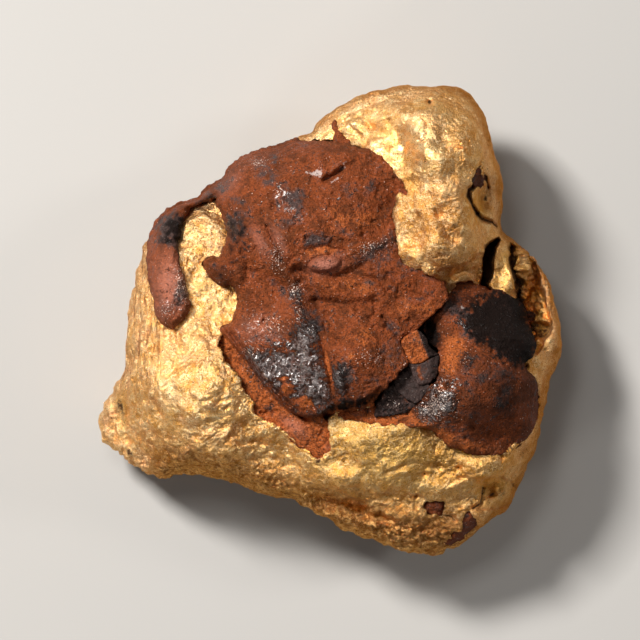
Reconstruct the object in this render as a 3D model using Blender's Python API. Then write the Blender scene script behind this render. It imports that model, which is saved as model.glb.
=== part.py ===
"""A gold nugget that still holds the ironstone it grew in, lying on its back.

The gold is one lumpy mass: a broad lower body, a thick lobe at the upper right, a cup-shaped lobe
at the right and a low foot at the lower left. Pieces of ironstone sit in sockets in its face.

The origin is on the ground, under the middle of the nugget. X runs to the right and Y to the top
of the face, which looks up along Z. Sizes below are in millimetres.
"""

import math

import bmesh
import bpy
import numpy as np
from mathutils import Vector, noise

MM = 0.001

# ---------------------------------------------------------------- driving dimensions

GOLD_SPHERE_LEVEL = 5  # subdivisions of the sphere that is pressed into the gold's form
RIM_SPREAD = 0.85  # under 1 spreads the sphere's rings outwards, towards the rim
SHOULDER = (8.0, 0.45)  # how late and how steeply the face and the back fall to the rim
CLEARANCE = 0.15  # taken off each stone and added to each socket: 0.3 mm between neighbours
STONE_GRID = 1.25  # spacing of the points on a stone's top
SOCKET_TOP = 40.0  # cutters end above everything
CURVE_STEPS = 2  # straight pieces for each span of a smooth outline

FACE_BASE = 14.0
BACK_BASE = 5.0

# The nugget's outline seen from above, anticlockwise from the top left once reversed.
SILHOUETTE = [
    (-2, 20.3), (-1.2, 21.4), (2.4, 23.9), (7.5, 25.1), (13.4, 25.3), (16, 23.3), (18.2, 17.1),
    (18.75, 11), (19.1, 9.4), (20.3, 8.3), (22.7, 6), (23.6, 4.2), (24.4, 2.3),
    (25.1, -2.2), (23, -9.1), (22.7, -12.9), (21.1, -16.7), (20.4, -17.8), (19.9, -19.1),
    (18.9, -20.5), (14.1, -24.3), (12.7, -24.8), (11.8, -25.3), (7.5, -24.8),
    (-1.4, -21), (-2.8, -20.5), (-4.2, -19.4), (-6.2, -19.1), (-11, -17.4), (-15.5, -16.5),
    (-18.6, -17), (-21.7, -15.5), (-24.3, -13.2), (-24.8, -10.5), (-23.1, -7.4), (-22, -4.6),
    (-21.9, -3.3), (-21.6, 0.9), (-20.3, 6.4), (-19.1, 10), (-16.9, 12.4), (-14.2, 13.3),
    (-13.6, 14.1), (-11.6, 15.5), (-10.9, 16.5), (-9.7, 17.6), (-7.6, 18.4), (-5.5, 19),
]  # fmt: skip

# Height of the widest level of the nugget, at compass angles in degrees from +X.
RIM_HEIGHTS = [
    (0, 10.5), (25, 10), (45, 14), (75, 14), (100, 12), (135, 9.5), (165, 11), (188, 9.5),
    (205, 5.5), (222, 7.5), (260, 9.5), (300, 9), (330, 10.5),
]  # fmt: skip

# Lumps and hollows: (height, centre, radii, turn in degrees). Each is a soft round swelling.
FACE_LUMPS = [
    (5.5, (-2, -5), (20, 17), -10),  # the broad body
    (4.0, (-15, -8), (6.5, 7.5), 15),  # bulge at the lower left
    (-7.0, (-24, -12.5), (3.6, 5.5), 20),  # low foot
    (1.5, (-13.2, 9), (2.5, 6), 0),  # finger between the arms of the stone
    (8.0, (11.5, 15), (8.5, 9.5), 0),  # upper lobe
    (1.8, (10, 20.5), (6, 4), -10),  # its upper bulb
    (1.8, (12.3, 9.6), (4.6, 3.8), 0),  # its lower bulb
    (-2.0, (8, 18.8), (1.9, 2.6), 10),  # smooth hollow in the upper lobe
    (0.8, (10.8, 18), (2.0, 2.6), 0),  # swelling beside the hollow
    (-3.6, (16.6, 13.2), (1.3, 2.2), -10),  # side pocket of the upper lobe
    (-5.5, (21.6, 2.2), (1.7, 5.2), -18),  # inside of the cup
    (2.6, (6, -12.5), (9, 4.5), 0),  # shelf under the stone
    (2.2, (17, -16.5), (6, 2), 20),  # ridge at the lower right
    (-3.0, (18.3, -19.5), (1.9, 1.2), 15),  # pocket beyond the ridge
    (1.6, (4, -22.6), (8, 1.5), -20),  # lip along the lower edge
    (3.4, (22, -9), (3, 7), 0),  # rim beside the right block
    (1.6, (-11.5, -14.5), (4, 2), -10),
    (-1.4, (-6.5, -14.5), (3, 2), -20),
    (1.2, (1.5, -17.5), (3, 1.6), -10),
    (1.0, (-20, -2), (1.5, 4), 0),
    (-1.0, (11, -16.5), (2.4, 1.4), 10),
    (1.0, (15.4, 20.5), (2, 2.6), 15),
    (-1.0, (13.6, 21.8), (1.4, 1.6), 0),
    (0.9, (14.8, 12.6), (1.6, 1.8), 0),
    (-0.9, (9.2, 8.6), (1.6, 1.8), 0),
]

# Creases: (depth, half width, points).
FACE_CREASES = [
    (2.5, 1.2, [(-22, -4.8), (-22.8, -8.6), (-22.4, -12.9), (-20.4, -15.1), (-17.2, -16.4)]),
    (0.9, 1.0, [(-17, -0.9), (-16.5, -2.1), (-16.1, -3.7), (-16.8, -5.5)]),
    (1.6, 0.9, [(-3.7, -19.4), (1.7, -19.9), (3.3, -20.7)]),
    (1.4, 1.3, [(9.4, 14.6), (12.4, 15.4), (15.2, 16.6)]),
    (1.2, 0.9, [(11.8, 11.4), (12.6, 9.9), (13.4, 8.8)]),
]

# The back is worn flat at three places, on which the nugget rests: (x, y) and radius.
WORN_FLATS = [((-11, -8), 2.6), ((10, -10), 2.6), ((4, 12.5), 2.6)]

# The back's lumps, where a negative height swells towards the ground.
BACK_LUMPS = [
    (-5.4, (-11, -8), (8.5, 8), 0),
    (-5.4, (10, -10), (8, 8), 0),
    (-5.4, (4, 12.5), (8.5, 8), 0),
    (-3.6, (-21.5, -11), (5, 5), 0),
    (1.6, (-2, 1), (6, 4), 30),
    (1.4, (16, 2), (4, 3), 60),
    (1.2, (-14, 6), (3.5, 3), 0),
    (0.9, (2, -17), (4, 2.5), 0),
]

BACK_CREASES = [
    (1.8, 2.4, [(-6, -19), (-3, -9), (-1, 0), (-6, 8), (-13, 13)]),
    (1.6, 2.2, [(-1, 0), (8, 2), (17, 6)]),
    (1.0, 2.0, [(3, -22), (5, -15), (4, -8)]),
]

# Gold grain: (size of the lumps, depth), on every side.
GOLD_GRAIN = [(7.0, 0.8), (3.2, 0.5)]
STONE_GRAIN = [(3.5, 0.45), (1.6, 0.22)]

# Outlines of the stones, seen from above.
MAIN_STONE = [
    (-3.5, 19.8), (-2.8, 19.3), (0.3, 19.3), (2.9, 18.8), (5.5, 17.7), (8.3, 14.3), (8.4, 13.4),
    (7.5, 13.2), (6.7, 11.3), (7.1, 10.2), (7.9, 6.2), (10.5, 5.3), (11.6, 4.5), (12.5, 4),
    (12.5, 1.9), (10.4, 0.1), (9.4, -1), (7.8, -1.9), (7.8, -2.8), (8.5, -4.5), (7.5, -5.7),
    (4.9, -8.5), (4.5, -9.3), (0.6, -10.1), (0.2, -12), (0.4, -13), (0.1, -14.2), (-0.8, -15),
    (-1.7, -14.8), (-2.5, -14.1), (-3.5, -13.4), (-5.3, -11.7), (-7.8, -10.3), (-8.4, -9.6),
    (-8.2, -8.7), (-8.9, -7.8), (-9.2, -7.1), (-10, -6.3), (-11.8, -3.4), (-11.6, -0.9),
    (-10.6, -0.3), (-9.8, 1.9), (-10.4, 3.7), (-11.6, 3.8), (-12.7, 4.5), (-13.4, 5.5),
    (-13.4, 6.4), (-12.6, 6.9), (-11.7, 7), (-11, 8.9), (-11.1, 10), (-12.1, 12.7), (-12.5, 13.1),
    (-14.7, 12.3), (-15.6, 11.1), (-16.3, 7.8), (-15.4, 3.6), (-15, 1.2), (-16.4, -0.5),
    (-17, -0.9), (-18.4, 0.3), (-18.8, 1.7), (-19.7, 6.3), (-19.1, 10), (-16.9, 12.4),
    (-14.2, 13.3), (-13.6, 14.1), (-11.6, 15.5), (-9.7, 17.6), (-5.5, 19),
]  # fmt: skip
TAIL = [
    (-12.5, -0.5), (-9.1, -3.7), (-7, -6.5), (-5.1, -8.7), (-2.9, -10.1), (0.8, -10.1), (2, -13),
    (0, -17), (-6, -15), (-12, -10), (-14, -4),
]  # fmt: skip
RIGHT_BLOCK = [
    (13.3, 3.3), (13.3, 4), (14.1, 4.2), (15.2, 4.4), (17.1, 3.2), (18.1, 3.4), (20.5, 1.5),
    (20.9, 0.3), (21.8, -2.6), (21.6, -3.7), (21.1, -4.4), (21.0, -5.1), (21.9, -6.8),
    (22.0, -9.9), (21.6, -11.6), (19.9, -13.7), (16.7, -14.5), (13.3, -13.6), (11.1, -11.8),
    (9.9, -11.2), (6.8, -10.4), (8.4, -10), (9.7, -9.2), (11.0, -7.3), (12.0, -5.9), (12.1, -3.2),
    (10.9, -0.4), (11.9, 0.7),
]  # fmt: skip
CHIP_RED = [
    (8.0, -2.1), (9.4, -1.2), (10.2, -1.9), (10.7, -2.8), (11.2, -3.6), (10.2, -4.1), (8.9, -4.4),
    (8.2, -3.2),
]  # fmt: skip
CHIP_GREY = [(8.8, -4.7), (9.9, -4.7), (11.6, -3.9), (11.6, -4.9), (11.5, -6), (9.9, -6.8)]
CHIP_BLACK = [
    (8.6, -5.1), (9.2, -6.2), (9.9, -7.1), (10.7, -7.2), (9.9, -8.4), (9, -8.6), (8.1, -8.1),
    (7.3, -7.3), (7.2, -6.6),
]  # fmt: skip
CHIP_LOW = [
    (6.8, -7.1), (7.3, -7.7), (8.4, -8.5), (9.5, -8.8), (8.1, -9.8), (5.5, -10.2), (5.0, -10.0),
    (5.4, -9.2),
]  # fmt: skip
CRACK_FLOOR = [
    (7.2, -1.6), (9.4, -0.4), (10.6, 1), (12.6, 2.6), (13.6, 1), (12.6, -2), (12.8, -6),
    (11.5, -9), (9, -10.6), (5, -10.6), (4.4, -9), (7, -6), (7.9, -4.4), (7.3, -2.8),
]  # fmt: skip
SPOT = [
    (10.4, -20), (10.8, -19.6), (11.8, -19.6), (12.4, -19.7), (12.1, -21.1), (11.2, -21.1),
    (10.5, -20.8),
]  # fmt: skip
EDGE_PATCH = [
    (14.7, -21.2), (15.6, -21.1), (16.0, -21.9), (15.6, -22.7), (14.2, -23.8), (13.0, -24.2),
    (13.4, -23.0),
]  # fmt: skip
POCKET_BIT = [(16.1, 16.3), (16.5, 15.6), (16.7, 14.7), (16.3, 14.4), (15.6, 14.5), (15.2, 15.1)]
CRACK_FILL = [(0.5, 21.9), (1.1, 20.6), (1.9, 19.9), (1, 19.8), (0.5, 20.1), (0.3, 21)]

# Narrow clefts cut into the gold: (floor height, half width, points).
CLEFTS = [
    (-1.0, 0.8, [(20.2, 10.4), (19.3, 9.7), (18.5, 9.1), (17.9, 8.4)]),
    (9.0, 0.5, [(19.0, 9.6), (18.1, 8.2), (17.4, 6.4), (16.9, 4.6), (16.8, 3.2)]),
    (8.0, 0.4, [(19.6, 8.0), (19.7, 6.6), (20.0, 5.2), (20.6, 2.8), (20.9, 0.8)]),
    (15.0, 0.4, [(14.8, 13.9), (15.4, 12.4), (16.4, 11.3), (17.7, 10.7)]),
    (17.0, 0.4, [(10.6, 23.4), (11.0, 23.1), (11.3, 22.7)]),
    (12.0, 0.3, [(17.0, -19.1), (17.7, -18.8), (18.3, -18.7)]),
]

GOLD = ("Gold", (0.83, 0.60, 0.24), 1.0, 0.36)
RED_STONE = ("Red ironstone", (0.16, 0.045, 0.022), 0.0, 0.60)
DARK_STONE = ("Dark ironstone", (0.035, 0.030, 0.033), 0.1, 0.38)


# ---------------------------------------------------------------- outlines


def smooth_loop(points, steps=CURVE_STEPS):
    """A closed smooth curve through the points, as an anticlockwise array."""
    points = np.array(points, float)
    before = np.roll(points, 1, axis=0)
    after = np.roll(points, -1, axis=0)
    beyond = np.roll(points, -2, axis=0)
    spans = []
    for t in np.arange(steps) / steps:
        spans.append(
            points
            + 0.5 * t * (after - before)
            + t**2 * (before - 2.5 * points + 2 * after - 0.5 * beyond)
            + t**3 * (1.5 * (points - after) + 0.5 * (beyond - before))
        )
    loop = np.stack(spans, axis=1).reshape(-1, 2)
    x, y = loop.T
    area = np.sum(x * np.roll(y, -1) - y * np.roll(x, -1))
    return loop if area > 0 else loop[::-1]


def grown(loop, by):
    """The anticlockwise loop moved outwards by a distance, or inwards if it is negative."""
    along = np.roll(loop, -1, axis=0) - np.roll(loop, 1, axis=0)
    along /= np.linalg.norm(along, axis=1, keepdims=True)
    outwards = np.stack([along[:, 1], -along[:, 0]], axis=1)
    return loop + by * outwards


def distance_to_line(x, y, line, closed=False):
    """Distance of each point to a line of straight pieces."""
    line = np.array(line, float)
    starts = line if closed else line[:-1]
    ends = np.roll(line, -1, axis=0) if closed else line[1:]
    nearest = np.full(x.shape, np.inf)
    for start, end in zip(starts, ends):
        run = end - start
        share = ((x - start[0]) * run[0] + (y - start[1]) * run[1]) / (run @ run)
        share = np.clip(share, 0, 1)
        gap = np.hypot(x - start[0] - share * run[0], y - start[1] - share * run[1])
        nearest = np.minimum(nearest, gap)
    return nearest


def is_inside(x, y, loop):
    inside = np.zeros(x.shape, bool)
    for (x0, y0), (x1, y1) in zip(loop, np.roll(loop, -1, axis=0)):
        if y0 == y1:
            continue
        crosses = (y0 > y) != (y1 > y)
        inside ^= crosses & (x < (x1 - x0) * (y - y0) / (y1 - y0) + x0)
    return inside


def depth_inside(x, y, loop):
    """Distance to the loop, positive inside it."""
    gap = distance_to_line(x, y, loop, closed=True)
    return np.where(is_inside(x, y, loop), gap, -gap)


def ribbon(line, half_width):
    """A closed loop round a line, narrowing to a point at both ends."""
    line = np.array(line, float)
    along = np.gradient(line, axis=0)
    along /= np.linalg.norm(along, axis=1, keepdims=True)
    side = np.stack([-along[:, 1], along[:, 0]], axis=1)
    widths = half_width * np.sin(np.linspace(0.12, 0.88, len(line)) * math.pi)[:, None]
    return np.concatenate([line + side * widths, (line - side * widths)[::-1]])


# ---------------------------------------------------------------- relief


def swelling(x, y, height, centre, radii, turn):
    angle = math.radians(turn)
    dx, dy = x - centre[0], y - centre[1]
    u = (dx * math.cos(angle) + dy * math.sin(angle)) / radii[0]
    v = (dy * math.cos(angle) - dx * math.sin(angle)) / radii[1]
    return height * np.exp(-(u**2) - v**2)


def soft_step(value):
    value = np.clip(value, 0, 1)
    return value * value * (3 - 2 * value)


def grain(x, y, z, sizes, seed):
    """Natural unevenness: smooth noise at each size, added up."""
    total = np.zeros(x.shape)
    for size, depth in sizes:
        points = np.stack([x, y, z], axis=-1) / size + seed
        total += depth * np.array([noise.noise(Vector(point)) for point in points])
    return total


RIM = smooth_loop(SILHOUETTE, steps=4)
RIM_ANGLES = np.arctan2(RIM[:, 1], RIM[:, 0])
RIM_ORDER = np.argsort(RIM_ANGLES)
STONE_ARC = (math.radians(98), math.radians(157))  # where stone, not gold, makes the outline
STONE_ARC_INSET = 0.9


def rim_radius(angle):
    """How far the outline is from the middle, in each direction."""
    radii = np.hypot(RIM[:, 0], RIM[:, 1])
    return np.interp(angle, RIM_ANGLES[RIM_ORDER], radii[RIM_ORDER], period=2 * math.pi)


def gold_radius(angle):
    """The same, drawn in where stone makes the outline."""
    fade = math.radians(5)
    angle = np.mod(angle, 2 * math.pi)
    along = soft_step((angle - STONE_ARC[0]) / fade) * soft_step((STONE_ARC[1] - angle) / fade)
    return rim_radius(angle) - STONE_ARC_INSET * along


def rim_height(angle):
    angles, heights = np.array(RIM_HEIGHTS).T
    return np.interp(np.degrees(angle), angles, heights, period=360)


def shoulder(reach):
    """1 over the middle of the nugget, falling to 0 at its rim."""
    late, steep = SHOULDER
    return (1 - np.clip(reach, 0, 1) ** late) ** steep


def face_relief(x, y):
    height = np.full(x.shape, FACE_BASE)
    for lump in FACE_LUMPS:
        height += swelling(x, y, *lump)
    for depth, half_width, line in FACE_CREASES:
        height -= depth * np.exp(-((distance_to_line(x, y, line) / half_width) ** 2))
    return height


def back_relief(x, y):
    height = np.full(x.shape, BACK_BASE)
    for lump in BACK_LUMPS:
        height += swelling(x, y, *lump)
    for depth, half_width, line in BACK_CREASES:
        height += depth * np.exp(-((distance_to_line(x, y, line) / half_width) ** 2))
    return height


def gold_face(x, y):
    """Height of the gold's face above the ground."""
    angle = np.arctan2(y, x)
    rim = rim_height(angle)
    reach = np.hypot(x, y) / rim_radius(angle)
    return rim + (face_relief(x, y) - rim) * shoulder(reach)


def on_shoulder(x, y, relief, least=0.3):
    """A stone's height, following the nugget's shoulder down towards the rim."""
    angle = np.arctan2(y, x)
    rim = rim_height(angle)
    reach = np.hypot(x, y) / rim_radius(angle)
    return rim + (relief - rim) * np.maximum(shoulder(reach), least)


def rounded_edge(x, y, loop, width, drop):
    """How much a stone's top falls towards its outline."""
    depth = depth_inside(x, y, loop)
    return drop * (1 - np.clip(depth / width, 0, 1)) ** 2


def main_stone_top(x, y):
    relief = 20.4 + grain(x, y, 0 * x, STONE_GRAIN, 5.3)
    relief += swelling(x, y, 4.2, (2, -4.5), (8.5, 7), 0)
    relief += swelling(x, y, 3.4, (-1, 9), (9, 8), 0)
    relief += swelling(x, y, -1.2, (-3, 2.5), (7, 1.6), -25)
    relief -= 1.9 * soft_step(depth_inside(x, y, smooth_loop(TAIL)) / 0.9)
    relief -= rounded_edge(x, y, smooth_loop(MAIN_STONE), 2.2, 1.4)
    return on_shoulder(x, y, relief)


def right_block_top(x, y):
    relief = 19.8 + grain(x, y, 0 * x, STONE_GRAIN, 9.1)
    relief += swelling(x, y, 4.4, (14.8, -8), (6, 5.5), 0)
    beyond_facet_edge = (x - 13.6) * 0.4 + (y + 1) * 0.917
    facet = 22.2 - 1.1 * beyond_facet_edge
    relief = np.where(y > 2.2, np.minimum(relief, 19.5), np.minimum(relief, facet))
    relief -= rounded_edge(x, y, smooth_loop(RIGHT_BLOCK), 2.2, 1.6)
    return on_shoulder(x, y, relief)


def chip_top(height, slope_x, slope_y, centre):
    def top(x, y):
        flat = height + slope_x * (x - centre[0]) + slope_y * (y - centre[1])
        return flat + grain(x, y, 0 * x, [(1.2, 0.12)], 2.7)

    return top


def inclusion_top(proud):
    def top(x, y):
        return gold_face(x, y) + proud + grain(x, y, 0 * x, [(0.9, 0.15)], 4.4)

    return top


# ---------------------------------------------------------------- making objects


def material(name, colour, metallic, roughness):
    made = bpy.data.materials.new(name)
    made.use_nodes = True
    shader = made.node_tree.nodes["Principled BSDF"]
    shader.inputs["Base Color"].default_value = (*colour, 1)
    shader.inputs["Metallic"].default_value = metallic
    shader.inputs["Roughness"].default_value = roughness
    made.diffuse_color = (*colour, 1)
    return made


def turn_outwards(shape):
    bmesh.ops.recalc_face_normals(shape, faces=shape.faces)
    if shape.calc_volume(signed=True) < 0:
        bmesh.ops.reverse_faces(shape, faces=shape.faces)


def add_object(name, mesh, collection, look=None):
    made = bpy.data.objects.new(name, mesh)
    collection.objects.link(made)
    if look:
        mesh.materials.append(look)
    return made


def add_cutter(name, loop, floor, ceiling, collection):
    """A prism on a flat outline, made from a filled curve."""
    curve = bpy.data.curves.new(name, "CURVE")
    curve.dimensions = "2D"
    curve.fill_mode = "BOTH"
    curve.extrude = (ceiling - floor) / 2 * MM
    spline = curve.splines.new("POLY")
    spline.points.add(len(loop) - 1)
    for point, (x, y) in zip(spline.points, loop):
        point.co = (x * MM, y * MM, 0, 1)
    spline.use_cyclic_u = True
    guide = add_object(name + "_outline", curve, collection)
    guide.location.z = (ceiling + floor) / 2 * MM
    bpy.context.view_layer.update()

    graph = bpy.context.evaluated_depsgraph_get()
    mesh = bpy.data.meshes.new_from_object(guide.evaluated_get(graph))
    shape = bmesh.new()
    shape.from_mesh(mesh)
    bmesh.ops.remove_doubles(shape, verts=shape.verts, dist=1e-6)
    turn_outwards(shape)
    shape.to_mesh(mesh)
    shape.free()
    cutter = add_object(name, mesh, collection)
    cutter.matrix_world = guide.matrix_world
    bpy.data.objects.remove(guide)
    cutter.hide_render = True
    cutter.display_type = "WIRE"
    return cutter


def add_boolean(target, cutter, operation):
    modifier = target.modifiers.new(cutter.name, "BOOLEAN")
    modifier.operation = operation
    modifier.solver = "EXACT"
    modifier.object = cutter


def shade(mesh, angle):
    mesh.shade_smooth()
    mesh.set_sharp_from_angle(angle=math.radians(angle))


def add_stone(name, outline, top, floor, spacing, look, parts, cutters):
    """A stone: its top is a fine uneven sheet, its sides follow the outline."""
    loop = grown(smooth_loop(outline), -CLEARANCE)
    low, high = loop.min(axis=0) - spacing, loop.max(axis=0) + spacing
    middle = (low + high) / 2
    cells = np.ceil((high - low) / spacing).astype(int)

    shape = bmesh.new()
    bmesh.ops.create_grid(shape, x_segments=cells[0], y_segments=cells[1], size=0.5)
    sheet = list(shape.verts)
    flat = np.array([vert.co[:2] for vert in sheet]) * (high - low) + middle
    heights = top(flat[:, 0], flat[:, 1])
    for vert, (x, y), z in zip(sheet, flat, heights):
        vert.co = (x * MM, y * MM, z * MM)
    walls = bmesh.ops.extrude_face_region(shape, geom=list(shape.faces))
    for item in walls["geom"]:
        if isinstance(item, bmesh.types.BMVert):
            item.co.z = (floor - 2) * MM
    turn_outwards(shape)
    mesh = bpy.data.meshes.new(name)
    shape.to_mesh(mesh)
    shape.free()
    shade(mesh, 40)

    stone = add_object(name, mesh, parts, look)
    add_boolean(stone, add_cutter(name + "_outline", loop, floor, SOCKET_TOP, cutters), "INTERSECT")
    return stone


def add_gold(parts, cutters, look):
    """The gold: a sphere pressed into the nugget's outline, face and back, with sockets cut."""
    shape = bmesh.new()
    bmesh.ops.create_icosphere(shape, subdivisions=GOLD_SPHERE_LEVEL, radius=1)
    ball = np.array([vert.co[:] for vert in shape.verts])
    angle = np.arctan2(ball[:, 1], ball[:, 0])
    reach = np.hypot(ball[:, 0], ball[:, 1]) ** RIM_SPREAD
    radius = gold_radius(angle) * reach
    x, y = radius * np.cos(angle), radius * np.sin(angle)
    rim = rim_height(angle)
    relief = np.where(ball[:, 2] > 0, face_relief(x, y), back_relief(x, y))
    z = rim + (relief - rim) * shoulder(reach)

    unevenness = grain(x, y, z, GOLD_GRAIN, 0.7)
    x, y = x - 0.35 * unevenness * ball[:, 0], y - 0.35 * unevenness * ball[:, 1]
    z = z + unevenness * ball[:, 2]
    for (flat_x, flat_y), flat_radius in WORN_FLATS:
        away = np.hypot(x - flat_x, y - flat_y) / flat_radius
        z = np.where(ball[:, 2] < 0, z * soft_step(away - 1), z)
    z = np.maximum(z, 0)
    for vert, place in zip(shape.verts, np.stack([x, y, z], axis=1)):
        vert.co = place * MM
    turn_outwards(shape)
    mesh = bpy.data.meshes.new("gold")
    shape.to_mesh(mesh)
    shape.free()
    shade(mesh, 45)
    return add_object("gold", mesh, parts, look)


def middle_of(outline):
    return smooth_loop(outline).mean(axis=0)


def main():
    for old in list(bpy.data.objects):
        bpy.data.objects.remove(old)
    parts = bpy.data.collections.new("Gold nugget")
    cutters = bpy.data.collections.new("Cutters")
    for collection in (parts, cutters):
        bpy.context.scene.collection.children.link(collection)
    cutters.hide_render = True

    gold_look = material(*GOLD)
    red_look = material(*RED_STONE)
    dark_look = material(*DARK_STONE)

    # Each stone: name, outline, top, floor height, point spacing, look.
    stones = [
        ("ironstone_main", MAIN_STONE, main_stone_top, 12.0, STONE_GRID, red_look),
        ("ironstone_right_block", RIGHT_BLOCK, right_block_top, 11.0, STONE_GRID, red_look),
    ]
    chips = [
        ("ironstone_chip_red", CHIP_RED, 22.6, -0.15, 0.1, red_look),
        ("ironstone_chip_grey", CHIP_GREY, 22.2, -0.05, 0.05, dark_look),
        ("ironstone_chip_black", CHIP_BLACK, 21.8, 0.12, -0.15, dark_look),
        ("ironstone_chip_low", CHIP_LOW, 21.2, 0.1, 0.3, dark_look),
    ]
    for name, outline, height, slope_x, slope_y, look in chips:
        top = chip_top(height, slope_x, slope_y, middle_of(outline))
        stones.append((name, outline, top, 17.0, 0.8, look))
    inclusions = [
        ("ironstone_spot", SPOT, 0.15, 3.0, red_look),
        ("ironstone_edge_patch", EDGE_PATCH, 0.2, 4.5, dark_look),
        ("ironstone_pocket_bit", POCKET_BIT, 0.5, 3.0, red_look),
        ("ironstone_crack_fill", CRACK_FILL, 0.3, 3.0, red_look),
    ]
    for name, outline, proud, depth, look in inclusions:
        x, y = middle_of(outline)
        floor = float(gold_face(np.array([x]), np.array([y]))[0]) - depth
        stones.append((name, outline, inclusion_top(proud), floor, 0.6, look))

    gold = add_gold(parts, cutters, gold_look)
    for name, outline, top, floor, spacing, look in stones:
        add_stone(name, outline, top, floor, spacing, look, parts, cutters)
        socket = grown(smooth_loop(outline), CLEARANCE)
        cutter = add_cutter(name + "_socket", socket, floor - 2 * CLEARANCE, SOCKET_TOP, cutters)
        add_boolean(gold, cutter, "DIFFERENCE")
    crack = add_cutter("crack_socket", smooth_loop(CRACK_FLOOR), 16.7, SOCKET_TOP, cutters)
    add_boolean(gold, crack, "DIFFERENCE")
    for number, (floor, half_width, line) in enumerate(CLEFTS, start=1):
        loop = ribbon(line, half_width)
        cleft = add_cutter(f"cleft_{number}", loop, floor, SOCKET_TOP, cutters)
        add_boolean(gold, cleft, "DIFFERENCE")


main()
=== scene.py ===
"""A gold nugget with ironstone in its face: fine gold relief, cracked stone and their finishes.

Lengths in this file are in the nugget's own millimetres, which MM turns into the frame's metres.
X runs to the right and Y to the top of the face, which looks up along Z.
"""

import math

import bmesh
import bpy
import numpy as np
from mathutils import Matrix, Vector, kdtree, noise
from mathutils.geometry import delaunay_2d_cdt


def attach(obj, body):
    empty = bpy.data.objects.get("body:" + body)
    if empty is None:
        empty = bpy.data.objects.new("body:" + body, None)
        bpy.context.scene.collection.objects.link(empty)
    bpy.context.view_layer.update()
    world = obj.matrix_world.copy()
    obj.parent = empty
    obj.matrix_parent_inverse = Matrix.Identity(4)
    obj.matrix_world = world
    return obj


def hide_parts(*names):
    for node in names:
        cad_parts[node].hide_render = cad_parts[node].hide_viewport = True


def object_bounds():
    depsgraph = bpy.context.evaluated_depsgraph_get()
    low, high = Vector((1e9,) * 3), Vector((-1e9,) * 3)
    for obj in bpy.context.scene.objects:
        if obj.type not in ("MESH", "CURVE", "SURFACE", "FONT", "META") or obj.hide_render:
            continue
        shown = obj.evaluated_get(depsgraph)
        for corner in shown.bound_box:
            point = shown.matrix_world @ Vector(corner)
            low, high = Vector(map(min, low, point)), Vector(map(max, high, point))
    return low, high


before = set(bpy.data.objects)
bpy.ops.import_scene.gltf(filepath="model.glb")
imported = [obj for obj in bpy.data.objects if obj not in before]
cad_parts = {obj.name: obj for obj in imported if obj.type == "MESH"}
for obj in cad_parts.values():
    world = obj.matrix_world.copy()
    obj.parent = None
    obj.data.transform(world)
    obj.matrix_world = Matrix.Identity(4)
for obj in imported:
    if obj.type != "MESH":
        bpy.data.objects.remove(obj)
CAD_LOW, CAD_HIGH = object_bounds()

DESIGN_WIDTH = 49.79
MM = (CAD_HIGH.x - CAD_LOW.x) / DESIGN_WIDTH

# ------------ the nugget's form

RIM_SPREAD = 0.85  # under 1 spreads the relief outwards, towards the rim
SHOULDER = (8.0, 0.45)  # how late and how steeply the face and the back fall to the rim
FACE_BASE = 14.0
BACK_BASE = 5.0

SILHOUETTE = [
    (-2, 20.3), (-1.2, 21.4), (2.4, 23.9), (7.5, 25.1), (13.4, 25.3), (16, 23.3), (18.2, 17.1),
    (18.75, 11), (19.1, 9.4), (20.3, 8.3), (22.7, 6), (23.6, 4.2), (24.4, 2.3), (25.1, -2.2), (23, -9.1),
    (22.7, -12.9), (21.1, -16.7), (20.4, -17.8), (19.9, -19.1), (18.9, -20.5), (14.1, -24.3),
    (12.7, -24.8), (11.8, -25.3), (7.5, -24.8), (-1.4, -21), (-2.8, -20.5), (-4.2, -19.4), (-6.2, -19.1),
    (-11, -17.4), (-15.5, -16.5), (-18.6, -17), (-21.7, -15.5), (-24.3, -13.2), (-24.8, -10.5),
    (-23.1, -7.4), (-22, -4.6), (-21.9, -3.3), (-21.6, 0.9), (-20.3, 6.4), (-19.1, 10), (-16.9, 12.4),
    (-14.2, 13.3), (-13.6, 14.1), (-11.6, 15.5), (-10.9, 16.5), (-9.7, 17.6), (-7.6, 18.4), (-5.5, 19),
]
# Height of the widest level, at compass angles in degrees from +X.
RIM_HEIGHTS = [
    (0, 10.5), (25, 10), (45, 14), (75, 14), (100, 12), (135, 9.5), (165, 11), (188, 9.5), (205, 5.5),
    (222, 7.5), (260, 9.5), (300, 9), (330, 10.5),
]

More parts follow.
